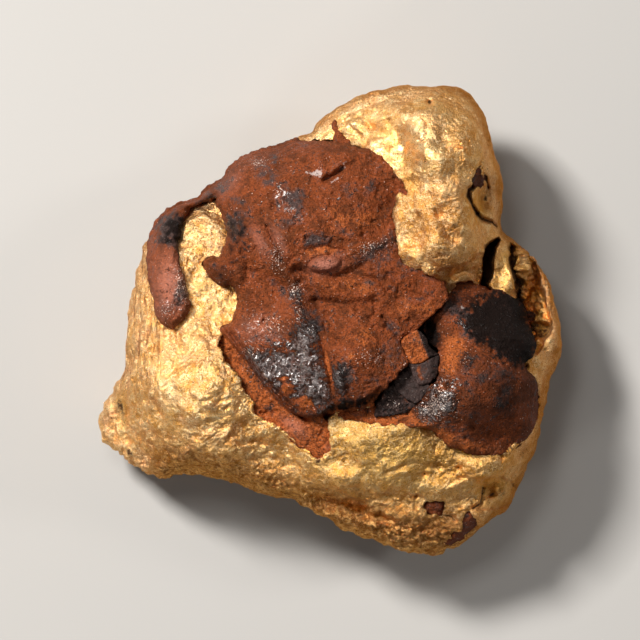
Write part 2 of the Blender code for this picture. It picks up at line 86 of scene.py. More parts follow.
# A swelling is (height, x, y, half length, half width, turn in degrees if it has one).
FACE_LUMPS = [
    (5.5, -2, -5, 20, 17, -10),  # the broad body
    (4, -15, -8, 6.5, 7.5, 15),  # bulge at the lower left
    (-5.8, -24, -12.5, 4.2, 6, 20),  # low foot
    (1.5, -13.2, 9, 2.5, 6),  # finger between the arms of the stone
    (8, 11.5, 15, 8.5, 9.5),  # upper lobe
    (1.8, 10, 20.5, 6, 4, -10),  # its upper bulb
    (1.8, 12.3, 9.6, 4.6, 3.8),  # its lower bulb
    (-0.8, 8, 18.8, 1.9, 2.6, 10),  # smooth hollow in the upper lobe
    (0.8, 10.8, 18, 2, 2.6),  # swelling beside the hollow
    (-3.6, 16.6, 13.2, 1.3, 2.2, -10),  # side pocket of the upper lobe
    (-5.5, 21.6, 2.2, 1.7, 5.2, -18),  # inside of the cup
    (2.6, 6, -12.5, 9, 4.5),  # shelf under the stone
    (2, 17, -16.6, 6, 2.2, 20),  # ridge at the lower right
    (3.4, 17.6, -20.6, 3.4, 2.2, 35),  # ground beyond the ridge
    (1.6, 4, -22.6, 8, 1.5, -20),  # lip along the lower edge
    (3.4, 22, -9, 3, 7),  # rim beside the right block
    (1.6, -11.5, -14.5, 4, 2, -10), (-1.4, -6.5, -14.5, 3, 2, -20), (1.2, 1.5, -17.5, 3, 1.6, -10),
    (1, -20, -2, 1.5, 4), (-1, 11, -16.5, 2.4, 1.4, 10), (1, 15.4, 20.5, 2, 2.6, 15),
    (-1, 13.6, 21.8, 1.4, 1.6), (0.9, 14.8, 12.6, 1.6, 1.8), (-0.9, 9.2, 8.6, 1.6, 1.8),
    (0.6, 13.6, 16.6, 2.8, 3.6), (2.2, 15.4, 19.2, 2.6, 3.8), (1.5, 9.5, 22.2, 5, 2, -5),
    (2, 10.5, 7, 4, 2.4), (1.3, 14.8, 9, 2.6, 2.6), (2.2, -17, 8, 3, 6, -15), (0.8, -18.6, -6.4, 2, 2.4),
    (1.2, 9, -16.4, 6, 2, 5), (1.6, 18, -14, 4, 3), (1.4, 13.5, 22, 4, 2.2),
    (1.2, 12.6, 5.4, 3.4, 1.6, 10), (-1, -24.2, -8, 2, 2.5), (1.5, -23.6, -14.2, 2.4, 2.2),
    (1.6, 16.6, 17, 2.2, 2.6), (2.6, 20.4, 4.6, 1.7, 3.6, -15),
]
LEFT_FOLD = [(-17, -0.9), (-16.5, -2.1), (-16.1, -3.7), (-16.8, -5.5)]
LOBE_FOLD = [(11.8, 11.4), (12.6, 9.9), (13.4, 8.8)]
LOW_FOLD = [(-3.7, -19.4), (1.7, -19.9), (3.3, -20.7)]
# A crease is (depth, half width, points).
FACE_CREASES = [
    (1.7, 1.3, [(-22, -4.8), (-22.8, -8.6), (-22.4, -12.9), (-20.4, -15.1), (-17.2, -16.4)]),
    (0.6, 1.1, LEFT_FOLD), (1.6, 0.9, LOW_FOLD), (0.4, 1, LOBE_FOLD),
    (0.6, 1.2, [(9.4, 14.6), (12.4, 15.4), (15.2, 16.6)]),
]
WORN_FLATS = [(-11, -8, 2.6), (10, -10, 2.6), (4, 12.5, 2.6)]  # (x, y, radius)
# The back faces down, so what goes in there is raised and what stands out is lowered.
BACK_LUMPS = [
    (-5.4, -11, -8, 8.5, 8), (-5.4, 10, -10, 8, 8), (-5.4, 4, 12.5, 8.5, 8), (-3.6, -21.5, -11, 5, 5),
    (1.6, -2, 1, 6, 4, 30), (1.4, 16, 2, 4, 3, 60), (1.2, -14, 6, 3.5, 3), (0.9, 2, -17, 4, 2.5),
]
BACK_CREASES = [
    (1.8, 2.4, [(-6, -19), (-3, -9), (-1, 0), (-6, 8), (-13, 13)]),
    (1.6, 2.2, [(-1, 0), (8, 2), (17, 6)]), (1, 2, [(3, -22), (5, -15), (4, -8)]),
]
GOLD_GRAIN = [(7, 0.8), (3.2, 0.5)]  # unevenness of the plain gold: (size, depth)
GRAIN_SEED = 0.7
GRAIN_SIDEWAYS = 0.35  # how much of it goes sideways

# Fine creases in the gold: (depth, half width, how dark it is painted, as stain and painted shade,
# points).
FINE_CREASES = [
    (0.15, 0.3, 0, LEFT_FOLD), (0.15, 0.45, 0, LOBE_FOLD), (0.7, 0.45, 0.3, [*LOW_FOLD, (6.5, -21.6)]),
    (0.2, 0.22, 0.2, [(-16.4, -0.9), (-13.8, -1.4), (-12.6, -1.2)]),
    (0.45, 0.11, 0.9, [(10.3, 21.6), (10.5, 20.8), (10.5, 19.9), (10.2, 19.3), (9.8, 19.2)]),
    (0.25, 0.35, 0, [(10.9, 13.4), (11.3, 12.6), (11.8, 11.4)]),
    (0.3, 0.16, 0.4, [(12.5, 18.5), (13.6, 18.7), (14.7, 18.5)]),
    (0.5, 0.25, 0.5, [(17.4, 19.5), (16.8, 18.4), (16.4, 17), (16.1, 16.2)]),
    (0.8, 0.14, 0.9, [(16.7, 15.6), (17, 14.9), (17.3, 14.2)]),
    (1.6, 0.2, 1, [(15.6, 14.6), (15, 14), (14.9, 13.3), (15.2, 12.5), (16, 11.5)]),
    (1.2, 0.17, 0.9, [(16, 11.5), (16.8, 10.9), (17.6, 10.5), (18.1, 10.2)]),
    (0.3, 0.1, 0.8, [(18.5, -18.4), (18.8, -18.9)]),
    (0.6, 0.18, 0.8, [(16.65, -18.1), (16.55, -19), (16.4, -19.8), (15.6, -20.25)]),
    (0.3, 0.16, 0.5, [(13.8, -17.1), (15.2, -17.3), (16.6, -17.1), (18, -16.7), (18.8, -17)]),
    (0.4, 0.13, 0.9, [(12.7, -21.1), (13.1, -21.2), (13.6, -21.6)]),
    (0.25, 0.12, 0.6, [(11.4, -13.6), (11.5, -14.3)]),
    (0.25, 0.12, 0.8, [(18.2, -14.2), (18.5, -14.6), (18.7, -14.9)]),
    (0.3, 0.25, 0.3, [(3.4, 22), (4.6, 20.8), (6.4, 21.6)]),
    (0.25, 0.25, 0.3, [(1.6, 21.4), (3, 20.4), (3.4, 19.6)]),
    (0.2, 0.3, 0.1, [(5.6, 22.4), (7, 20.9), (7.3, 19.6), (6.6, 17.6)]),
    (0.25, 0.3, 0.2, [(-9.5, -13.2), (-7.6, -13), (-5.8, -14)]),
    (0.25, 0.35, 0.2, [(-14.5, -12.5), (-12, -13.4), (-9.6, -15.4)]),
    (0.25, 0.3, 0.2, [(6.2, -16.4), (9, -15.4), (12, -15.9)]),
]
# The same without the darkening, and raised.
FINE_RIDGES = [
    (0.35, 0.3, [(9.3, 13.6), (9.5, 12.6), (9.6, 11.6)]),
    (0.3, 0.45, [(7.2, 11), (7.4, 8.6), (9.4, 6.2)]),
    (0.3, 0.5, [(18.5, 9.1), (20.6, 8.2), (22.9, 5.9), (24.2, 2.6), (24.9, -0.6), (24.5, -3)]),
    (0.25, 0.3, [(12.9, -18.2), (17.2, -16.4), (21.7, -15.1)]),
]
# Round marks: swellings that go inwards, or outwards where they are below 0.
DARK_PITS = [
    (1.6, 10.85, 23.3, 0.28, 0.38), (0.9, 9.4, -19, 0.22, 0.22), (0.8, 13.9, -15.9, 0.18, 0.18),
    (0.8, 10.3, -16.5, 0.18, 0.18), (0.7, 17.65, -18.85, 0.5, 0.21, 12), (0.9, 21.3, -5, 0.22, 0.22),
]
DENTS = [
    (0.3, 8, 18.7, 1.3, 1.9, 8), (-0.3, 10.6, 18, 1.5, 2.2), (0.3, 12.6, 20.2, 1.2, 1.3),
    (-0.25, 14.6, 17.9, 0.4, 0.8, 10), (-0.25, 2.4, 21.2, 1.1, 0.9, 20),
    (-0.25, -0.4, 19.9, 1.2, 0.6, 20), (-0.25, 5.3, 18.7, 1.1, 0.9, -30), (0.25, 4.4, 21, 0.7, 0.7),
    (0.25, 9, 10.4, 1.3, 1.3), (-0.2, 10.6, 8.4, 1.4, 1.2), (1.8, 17.5, -18.3, 1.3, 1.3),
    (0.7, 16.6, 12.9, 0.9, 1.4, -10), (-0.35, 15.9, 12.6, 0.3, 0.9, 10),
]

# ------------ hollows with a crisp edge

CLEFT_SHADOW = [
    (18.3, 8.8), (17.4, 8.4), (16.9, 7.6), (16.6, 6.8), (16.7, 5.7), (16.5, 4.4), (16.2, 3.2),
    (17.5, 3.2), (17.1, 3.9), (17.6, 4.9), (17.75, 6.3), (17.95, 7.7),
]
CUP = [
    (19.6, 8.5), (20.6, 7.9), (21.6, 7), (22.5, 5.4), (23.2, 3.2), (23.8, 1), (24, -0.6), (23.6, -1.8),
    (22.9, -3.2), (21.9, -3.4), (21.5, -0.6), (20.9, 1), (20.4, 2.6), (20.3, 4.2), (19.7, 6), (19.5, 7.2),
]
CUP_SLOT = [
    (19.6, 8.4), (20.1, 8), (20.2, 7.2), (20.2, 6.3), (20.6, 5.2), (21, 4.2), (20.9, 2.6), (21.2, 1.1),
    (21.7, -0.5), (21.1, -0.7), (20.6, 0.8), (20.3, 2.3), (20.2, 3.8), (19.8, 5), (19.4, 6.5),
    (19.6, 7.3),
]
CUP_HOLE = [(21.7, -0.5), (22.9, -0.2), (23.9, -0.7), (23.7, -1.7), (22.6, -2), (21.9, -2.3)]
UNDER_LOBE = [
    (14.6, 6), (15.6, 6.9), (16.6, 7.2), (16.5, 5.4), (16.2, 4.2), (15.4, 4.6), (14.9, 5), (13.4, 4.5),
    (13.6, 5.2),
]
LOW_POCKET = [
    (16.6, -17.2), (18.1, -16.9), (19.3, -17.2), (20.4, -18.2), (19.9, -19.6), (18.6, -20.4), (17, -20.4),
    (16, -20.4), (16.4, -19.8), (16.5, -19.2), (16.6, -18.3),
]
# Each is (depth or strength, width of its edge, outline).
CARVINGS = [
    (0.8, 0.3, LOW_POCKET), (1.6, 0.5, CUP), (2.2, 0.3, CUP_SLOT), (1.4, 0.5, CUP_HOLE),
    (5, 0.35, CLEFT_SHADOW), (0.8, 0.5, UNDER_LOBE),
]
# Painted shade in the deep hollows and under the lobe: (strength, width of its edge, outline).
HOLLOW_SHADE = [
    (0.95, 0.3, CLEFT_SHADOW), (0.8, 0.3, CUP_SLOT), (0.7, 0.4, CUP_HOLE), (0.15, 0.5, UNDER_LOBE),
]
DEEPEST_HOLLOW = 8.0  # its floor's height

# ------------ the stones' outlines

MAIN_STONE = [
    (-3.5, 19.8), (-2.8, 19.3), (0.3, 19.3), (2.9, 18.8), (5.5, 17.7), (8.3, 14.3), (8.4, 13.4),
    (7.5, 13.2), (6.7, 11.3), (7.1, 10.2), (7.9, 6.2), (10.5, 5.3), (11.6, 4.5), (12.5, 4), (12.5, 1.9),
    (10.4, 0.1), (9.4, -1), (7.8, -1.9), (7.8, -2.8), (8.5, -4.5), (7.5, -5.7), (4.9, -8.5), (4.5, -9.3),
    (0.6, -10.1), (0.2, -12), (0.4, -13), (0.1, -14.2), (-0.8, -15), (-1.7, -14.8), (-2.5, -14.1),
    (-3.5, -13.4), (-5.3, -11.7), (-7.8, -10.3), (-8.4, -9.6), (-8.2, -8.7), (-8.9, -7.8), (-9.2, -7.1),
    (-10, -6.3), (-11.8, -3.4), (-11.6, -0.9), (-10.6, -0.3), (-9.8, 1.9), (-10.4, 3.7), (-11.6, 3.8),
    (-12.7, 4.5), (-13.4, 5.5), (-13.4, 6.4), (-12.6, 6.9), (-11.7, 7), (-11, 8.9), (-11.1, 10),
    (-12.1, 12.7), (-12.5, 13.1), (-14.7, 12.3), (-15.6, 11.1), (-16.3, 7.8), (-15.4, 3.6), (-15, 1.2),
    (-16.4, -0.5), (-17, -0.9), (-18.4, 0.3), (-18.8, 1.7), (-19.7, 6.3), (-19.1, 10), (-16.9, 12.4),
    (-14.2, 13.3), (-13.6, 14.1), (-11.6, 15.5), (-9.7, 17.6), (-5.5, 19),
]
TAIL = [
    (-12.5, -0.5), (-9.1, -3.7), (-7, -6.5), (-5.1, -8.7), (-2.9, -10.1), (0.8, -10.1), (2, -13),
    (0, -17), (-6, -15), (-12, -10), (-14, -4),
]
RIGHT_BLOCK = [
    (13.3, 3.3), (13.3, 4), (14.1, 4.2), (15.2, 4.4), (17.1, 3.2), (18.1, 3.4), (21, 1.7), (21.4, 0.3),
    (22.3, -2.6), (22, -3.7), (21.3, -4.4), (21.2, -5.1), (22.5, -6.8), (22.6, -9.9), (22.2, -11.6),
    (19.9, -13.9), (16.7, -14.5), (13.3, -13.6), (11.1, -11.8), (9.9, -11.5), (7.8, -11.4), (6.2, -11.5),
    (4.9, -11.1), (2.6, -10.9), (0.7, -10.5), (0.9, -9.7), (2.6, -9.3), (4, -9.2), (6.4, -9.6),
    (8.1, -9.8), (9.4, -9.2), (10.9, -7.1), (11.8, -5.9), (11.8, -3.4), (11.1, -2.6), (10.6, -1.5),
    (10.3, -0.5), (11.7, 0.9),
]
CHIP_RED = [
    (8, -2), (9.4, -1.1), (10.3, -1.8), (10.6, -2.6), (11.3, -3.4), (11.7, -3.6), (10.9, -3.9),
    (9.9, -4.5), (8.6, -4.4), (8.1, -3),
]
CHIP_GREY = [(8.6, -4.65), (9.8, -4.65), (11.7, -3.8), (11.7, -4.9), (11.5, -6), (9.8, -6.85)]
CHIP_BLACK = [
    (8.5, -4.9), (9.2, -6.2), (9.9, -7), (10.8, -7.1), (9.9, -8.5), (9, -8.7), (8.1, -8.2), (7.1, -7.3),
    (7, -6.4),
]
CHIP_LOW = [
    (6.7, -6.9), (7.3, -7.5), (8.4, -8.3), (9.8, -8.7), (8.1, -9.9), (5.5, -10.3), (4.9, -10.2),
    (5.3, -9.2),
]
CRACK_FLOOR = [
    (7.6, -1.6), (9.4, -0.8), (10.4, 0.3), (12.3, 2.2), (13.3, 1), (12.6, -2), (12.8, -6), (11.5, -9),
    (9, -10.4), (5, -10.4), (4.6, -9.2), (7.2, -6), (8.1, -4.4), (7.6, -2.8),
]
SPOT = [
    (10.4, -20), (10.8, -19.6), (11.8, -19.6), (12.4, -19.7), (12.1, -21.1), (11.2, -21.1), (10.5, -20.8),
]
EDGE_PATCH = [
    (14.7, -20.5), (15.5, -20.9), (16.1, -21.5), (16.2, -22.1), (15.6, -22.7), (14.9, -23.4), (14, -24),
    (12.8, -24.4), (12.5, -24.1), (12.9, -23.5), (13.5, -22.8), (14.1, -22.2), (14.3, -21.4),
]
POCKET_BIT = [(16.1, 16.3), (16.5, 15.6), (16.7, 14.7), (16.3, 14.4), (15.6, 14.5), (15.2, 15.1)]
CRACK_FILL = [
    (0.55, 21.7), (0.7, 21.3), (0.75, 20.9), (0.95, 21), (1.1, 20.6), (1.3, 20.2), (1.8, 19.7),
    (2.2, 19.2), (1.6, 18.9), (0.6, 19), (0.5, 19.8), (0.45, 20.6), (0.45, 21.2),
]
INLAYS = [MAIN_STONE, RIGHT_BLOCK]
GOLD_OVERLAP = 0.1  # how far the gold reaches over the inlays
SOCKETS = [*INLAYS, CRACK_FLOOR, SPOT, EDGE_PATCH, POCKET_BIT]

# ------------ outlines and distances

LOOP_SPACING = 0.12  # between the points of a stone's outline
CURVE_STEPS = 12  # straight pieces between two given points, before they are spaced evenly
FEWEST_POINTS = 12
RAGGED = [(0.9, 0.32), (0.35, 0.18)]  # wander of the gold's edge: (size, amount)
STONE_WANDER = [(0.8, 0.18), (0.3, 0.1)]
STONE_SEED = 7.0


def smooth_loop(points, spacing=LOOP_SPACING):
    """A closed smooth curve through the points, as an anticlockwise array of evenly spaced points."""
    points = np.array(points, float)
    before, after, second = (np.roll(points, shift, axis=0) for shift in (1, -1, -2))
    spans = []
    for t in np.arange(CURVE_STEPS) / CURVE_STEPS:
        spans.append(
            points
            + 0.5 * t * (after - before)
            + t**2 * (before - 2.5 * points + 2 * after - 0.5 * second)
            + t**3 * (1.5 * (points - after) + 0.5 * (second - before))
        )
    loop = np.stack(spans, axis=1).reshape(-1, 2)
    x, y = loop.T
    if np.sum(x * np.roll(y, -1) - y * np.roll(x, -1)) < 0:
        loop = loop[::-1]
    ring = np.concatenate([loop, loop[:1]])
    along = np.concatenate([[0], np.cumsum(np.hypot(*np.diff(ring, axis=0).T))])
    count = max(FEWEST_POINTS, int(along[-1] / spacing))
    places = np.linspace(0, along[-1], count, endpoint=False)
    return np.stack([np.interp(places, along, side) for side in ring.T], axis=1)


def ragged_loop(points, wander=RAGGED, seed=0.0, grow=0.0):
    """The smooth loop, grown outwards and with a natural unevenness."""
    loop = smooth_loop(points)
    along = np.roll(loop, -1, axis=0) - np.roll(loop, 1, axis=0)
    along /= np.linalg.norm(along, axis=1, keepdims=True)
    shift = np.full(len(loop), float(grow))
    for size, amount in wander:
        shift += amount * noise_at(*loop.T, np.full(len(loop), seed), size)
    return loop + shift[:, None] * np.stack([along[:, 1], -along[:, 0]], axis=1)


def noise_at(x, y, z, size, octaves=1, seed=0.0, stretch=(1, 1, 1)):
    """Smooth noise from about -1 to 1, whose lumps are about size across."""
    places = np.stack([x / stretch[0], y / stretch[1], z / stretch[2]], axis=-1) / size + seed
    if octaves == 1:
        return np.array([noise.noise(place) for place in places.tolist()])
    return np.array([noise.fractal(place, 1.0, 2.0, octaves) for place in places.tolist()])


def flat_noise(x, y, size, octaves=1, seed=0.0):
    return noise_at(x, y, 0 * x, size, octaves, seed)


def distance_to_line(x, y, line):
    line = np.array(line, float)
    nearest = np.full(x.shape, np.inf)
    for start, end in zip(line[:-1], line[1:]):
        run = end - start
        share = np.clip(((x - start[0]) * run[0] + (y - start[1]) * run[1]) / (run @ run), 0, 1)
        gap = np.hypot(x - start[0] - share * run[0], y - start[1] - share * run[1])
        nearest = np.minimum(nearest, gap)
    return nearest


def box_round(x, y, loop, margin=0.0):
    """Which places lie in the box round the loop, widened by the margin."""
    low, high = np.min(loop, axis=0) - margin, np.max(loop, axis=0) + margin
    return (x > low[0]) & (x < high[0]) & (y > low[1]) & (y < high[1])


def is_inside(x, y, loop):
    inside = box_round(x, y, loop)
    near_x, near_y = x[inside], y[inside]
    found = np.zeros(near_x.shape, bool)
    for (x0, y0), (x1, y1) in zip(loop, np.roll(loop, -1, axis=0)):
        if y0 != y1:
            crosses = (y0 > near_y) != (y1 > near_y)
            found ^= crosses & (near_x < (x1 - x0) * (near_y - y0) / (y1 - y0) + x0)
    inside[inside] = found
    return inside


def distance_to_loop(x, y, loop):
    tree = kdtree.KDTree(len(loop))
    for number, (px, py) in enumerate(loop):
        tree.insert((px, py, 0), number)
    tree.balance()
    return np.array([tree.find((px, py, 0))[2] for px, py in zip(x.tolist(), y.tolist())])


def depth_inside(x, y, outline):
    """Distance to the smooth outline, positive inside it."""
    loop = smooth_loop(outline)
    gap = distance_to_loop(x, y, loop)
    return np.where(is_inside(x, y, loop), gap, -gap)


# ------------ swellings, furrows and zones


def soft_step(value):
    value = np.clip(value, 0, 1)
    return value * value * (3 - 2 * value)


def rise(value, start, width):
    """0 up to start and 1 from start + width on, smooth between them."""
    return soft_step((value - start) / width)


def out_of_oval(x, y, centre_x, centre_y, half_length, half_width, turn=0):
    """Squared distance from the centre of a turned oval: 1 on its outline."""
    angle = math.radians(turn)
    dx, dy = x - centre_x, y - centre_y
    along = (dx * math.cos(angle) + dy * math.sin(angle)) / half_length
    across = (dy * math.cos(angle) - dx * math.sin(angle)) / half_width
    return along**2 + across**2


def swelling(x, y, height, *oval):
    return height * np.exp(-out_of_oval(x, y, *oval))


def lens(x, y, height, *oval):
    """A smooth raised oval with a clear edge."""
    return height * np.sqrt(np.clip(1 - out_of_oval(x, y, *oval), 0, 1))


def patches(x, y, rows):
    """All the swellings together: a relief, or a mask from round patches."""
    return sum((swelling(x, y, *row) for row in rows), np.zeros(x.shape))


def painted(x, y, tables):
    return {name: patches(x, y, rows) for name, rows in tables.items()}


def beside(gap, half_width):
    """1 on a line and less away from it."""
    return np.exp(-((gap / half_width) ** 2))


def furrow(x, y, depth, half_width, line):
    return depth * beside(distance_to_line(x, y, line), half_width)


def furrows(x, y, rows):
    return sum((furrow(x, y, *row) for row in rows), np.zeros(x.shape))


def sunk(x, y, edge_width, outline):
    """1 inside the outline and 0 outside it, across an edge of the given width."""
    near = box_round(x, y, outline, 1 + edge_width)
    share = np.zeros(x.shape)
    share[near] = soft_step(depth_inside(x[near], y[near], outline) / edge_width + 0.5)
    return share


def hollows(x, y, rows):
    return sum(depth * sunk(x, y, edge_width, outline) for depth, edge_width, outline in rows)


# ------------ relief shared by gold and stone

RIM = smooth_loop(SILHOUETTE, 0.3)
STONE_ARC = (math.radians(98), math.radians(157))  # where stone, not gold, makes the outline
STONE_ARC_FADE = math.radians(5)
STONE_ARC_INSET = 0.9
LEAST_SHOULDER = 0.3  # share of a stone's relief that is left at the rim


def rim_radius(angle):
    x, y = RIM.T
    return np.interp(angle, np.arctan2(y, x), np.hypot(x, y), period=math.tau)


def gold_radius(angle):
    angle = np.mod(angle, math.tau)
    start, end = STONE_ARC
    along = rise(angle, start, STONE_ARC_FADE) * rise(-angle, -end, STONE_ARC_FADE)
    return rim_radius(angle) - STONE_ARC_INSET * along


def rim_height(angle):
    angles, heights = np.array(RIM_HEIGHTS).T
    return np.interp(np.degrees(angle), angles, heights, period=360)


def shoulder(reach):
    late, steep = SHOULDER
    return (1 - np.clip(reach, 0, 1) ** late) ** steep


def face_relief(x, y):
    return FACE_BASE + patches(x, y, FACE_LUMPS) - furrows(x, y, FACE_CREASES)


def back_relief(x, y):
    return BACK_BASE + patches(x, y, BACK_LUMPS) + furrows(x, y, BACK_CREASES)


def rim_share(x, y):
    """How far a place is on the way from the middle to the rim."""
    return np.hypot(x, y) / rim_radius(np.arctan2(y, x))


def on_shoulder(x, y, relief, least=0.0):
    """A height that follows the nugget's shoulder down towards the rim."""
    rim = rim_height(np.arctan2(y, x))
    return rim + (relief - rim) * np.maximum(shoulder(rim_share(x, y)), least)


# ------------ mesh helpers

GRID_SHAKE = 0.22  # of the spacing
GRID_SEED = 7
SAME_PLACE = 1e-7  # points closer than this are taken as one


def hex_grid(low, high, spacing):
    """Points of a triangular grid over a box, slightly shaken so that no rows show."""
    rows = np.arange(low[1], high[1], spacing * math.sqrt(3) / 2)
    columns = np.arange(low[0], high[0], spacing)
    x, y = np.meshgrid(columns, rows)
    x = x + spacing / 2 * (np.arange(len(rows)) % 2)[:, None]
    points = np.stack([x.ravel(), y.ravel()], axis=1)
    shake = np.random.default_rng(GRID_SEED).uniform(-GRID_SHAKE, GRID_SHAKE, points.shape)
    return points + shake * spacing


def triangulated(loops, points):
    """Triangles over all the loops and points, keeping every edge of the loops."""
    edges = []
    for loop in loops:
        start, count = len(edges), len(loop)
        edges += [(start + i, start + (i + 1) % count) for i in range(count)]
    places = [Vector(place) for place in np.concatenate([*loops, points]).tolist()]
    verts, _, faces, *_ = delaunay_2d_cdt(places, edges, [], 0, SAME_PLACE)
    return np.array([vert[:] for vert in verts]), np.array(faces)


def set_mask(mesh, name, values):
    """A named number from 0 to 1 at each point, which the finish reads."""
    layer = mesh.attributes.new(name, "FLOAT", "POINT")
    layer.data.foreach_set("value", np.clip(values, 0, 1).astype(np.float32))


def sheet_shape(places, triangles, masks):
    """An open sheet that can still be shaped, without the points that no triangle uses."""
    mesh = bpy.data.meshes.new("sheet")
    mesh.from_pydata((places * MM).tolist(), [], triangles.tolist())
    for name, values in masks.items():
        set_mask(mesh, name, values)
    shape = bmesh.new()
    shape.from_mesh(mesh)
    bpy.data.meshes.remove(mesh)
    bmesh.ops.delete(shape, geom=[v for v in shape.verts if not v.link_faces], context="VERTS")
    return shape


def open_edges(shape):
    return [edge for edge in shape.edges if edge.is_boundary]


def drawn_out(shape, edges):
    """New faces along the edges: gives their far edges and the points of these."""
    made = bmesh.ops.extrude_edge_only(shape, edges=edges)["geom"]
    edges = [item for item in made if isinstance(item, bmesh.types.BMEdge)]
    return edges, {vert for edge in edges for vert in edge.verts}


def closed_object(name, shape, edges, look):
    """Closes the shape along its last edges and puts it in the scene."""
    bmesh.ops.holes_fill(shape, edges=edges, sides=0)
    bmesh.ops.recalc_face_normals(shape, faces=shape.faces)
    mesh = bpy.data.meshes.new(name)
    shape.to_mesh(mesh)
    shape.free()
    mesh.shade_smooth()
    mesh.materials.append(look)
    made = bpy.data.objects.new(name, mesh)
    bpy.context.scene.collection.objects.link(made)
    return made


def read_vectors(items, name):
    values = np.empty(len(items) * 3)
    items.foreach_get(name, values)
    return values.reshape(-1, 3)


# ------------ the gold's plain form

# A spread is an angle from straight up. The face's flat sheet is a ball unrolled round its top.
JOIN_SPREAD = 2.0  # where the face's sheet meets the back's
JOIN_POINTS = 640
JOIN_GAP = 0.002  # how close the two sheets' borders have to be
BACK_SPACING = 0.026
# Each band of the face: spacing of its points, from which spread, up to which.
FACE_BANDS = [
    (0.0082, 0, 1.22), (0.014, 1.22, 1.75), (BACK_SPACING, 1.75, JOIN_SPREAD - BACK_SPACING / 2),
]
EDGE_CLEARANCE = 0.45  # of the spacing, between the sheet's points and the sockets' edges
MOST_REACH = 0.985  # keeps the sockets off the rim itself
SOCKET_FLOOR = 12.0
SOCKET_STEPS = (0.12, 0.7)  # the wall's first steps down
CARVED_FROM = 9.0  # the height below which nothing is carved
GROUND_FADE = 0.6  # height over which the skin's fine relief starts


def spread_of(places):
    """Spread and compass angle of places on a flat sheet."""
    return np.hypot(*places.T), np.arctan2(places[:, 1], places[:, 0])


def round_top(spread, angle):
    return spread * np.cos(angle), spread * np.sin(angle)


def unrolled(x, y):
    """A place on the face, as a place on the flat sheet."""
    angle = np.arctan2(y, x)
    reach = np.clip(np.hypot(x, y) / gold_radius(angle), 0, MOST_REACH)
    return np.stack(round_top(np.arcsin(reach ** (1 / RIM_SPREAD)), angle), axis=1)


def pressed(spread, angle):
    """The nugget's plain surface, for a direction from straight up and a compass angle."""
    reach = np.sin(spread) ** RIM_SPREAD
    x, y = round_top(gold_radius(angle) * reach, angle)
    rim = rim_height(angle)
    relief = np.where(spread < math.pi / 2, face_relief(x, y), back_relief(x, y))
    z = rim + (relief - rim) * shoulder(reach)
    unevenness = sum(depth * noise_at(x, y, z, size, seed=GRAIN_SEED) for size, depth in GOLD_GRAIN)
    ball_x, ball_y = round_top(np.sin(spread), angle)
    x = x - GRAIN_SIDEWAYS * unevenness * ball_x
    y = y - GRAIN_SIDEWAYS * unevenness * ball_y
    upward = np.cos(spread)
    z = z + unevenness * upward
    for flat_x, flat_y, radius in WORN_FLATS:
        away = np.hypot(x - flat_x, y - flat_y) / radius
        z = np.where(upward < 0, z * soft_step(away - 1), z)
    return np.stack([x, y, np.maximum(z, 0)], axis=1)


def gold_level(x, y):
    """Height of the gold's surface, as if it ran on under the stones."""
    return pressed(*spread_of(unrolled(x, y)))[:, 2]


def gold_shape(sockets):
    """The plain gold: a sheet for the face, with the sockets left open, joined to one for the back."""
    ring = np.stack(round_top(1, np.arange(JOIN_POINTS) / JOIN_POINTS * math.tau), axis=1)
    holes = [unrolled(*socket.T) for socket in sockets]
    hole_points = np.concatenate(holes)
    reach = np.array([JOIN_SPREAD, JOIN_SPREAD])
    filling = []
    for spacing, start, end in FACE_BANDS:
        grid = hex_grid(-reach, reach, spacing)
        spread = np.hypot(*grid.T)
        grid = grid[(spread >= start) & (spread < end)]
        for hole in holes:
            grid = grid[~is_inside(*grid.T, hole)]
        filling.append(grid[distance_to_loop(*grid.T, hole_points) > EDGE_CLEARANCE * spacing])
    face, face_triangles = triangulated([ring * JOIN_SPREAD, *holes], np.concatenate(filling))
    middles = face[face_triangles].mean(axis=1)
    covered = np.logical_or.reduce([is_inside(*middles.T, hole) for hole in holes])

    back_reach = math.pi - JOIN_SPREAD
    grid = hex_grid(-reach, reach, BACK_SPACING)
    grid = grid[np.hypot(*grid.T) < back_reach - BACK_SPACING / 2]
    back, back_triangles = triangulated([ring * back_reach], grid)

    back_spread, back_angle = spread_of(back)
    places = np.concatenate([pressed(*spread_of(face)), pressed(math.pi - back_spread, back_angle)])
    triangles = [face_triangles[~covered], back_triangles[:, ::-1] + len(face)]
    shape = sheet_shape(places, np.concatenate(triangles), {})
    border = [vert for vert in shape.verts if vert.is_boundary]
    bmesh.ops.remove_doubles(shape, verts=border, dist=JOIN_GAP * MM)
    return shape


def cut_sockets(shape):
    """Turns each hole's edge down into a wall: gives the wall's lowest edges."""
    edges = open_edges(shape)
    for drop in SOCKET_STEPS:
        edges, verts = drawn_out(shape, edges)
        for vert in verts:
            vert.co.z -= drop * MM
    edges, verts = drawn_out(shape, edges)
    for vert in verts:
        vert.co.z = min(SOCKET_FLOOR * MM, vert.co.z)
    return edges


# ------------ the gold's skin

# Lumps of the skin: (height, size, octaves, seed, how much lower they are on the upper lobe).
SKIN_LUMPS = [(0.38, 3.4, 1, 3.1, 0), (0.28, 1.7, 1, 8.3, 0.3), (0.15, 0.8, 3, 2.2, 0.3)]
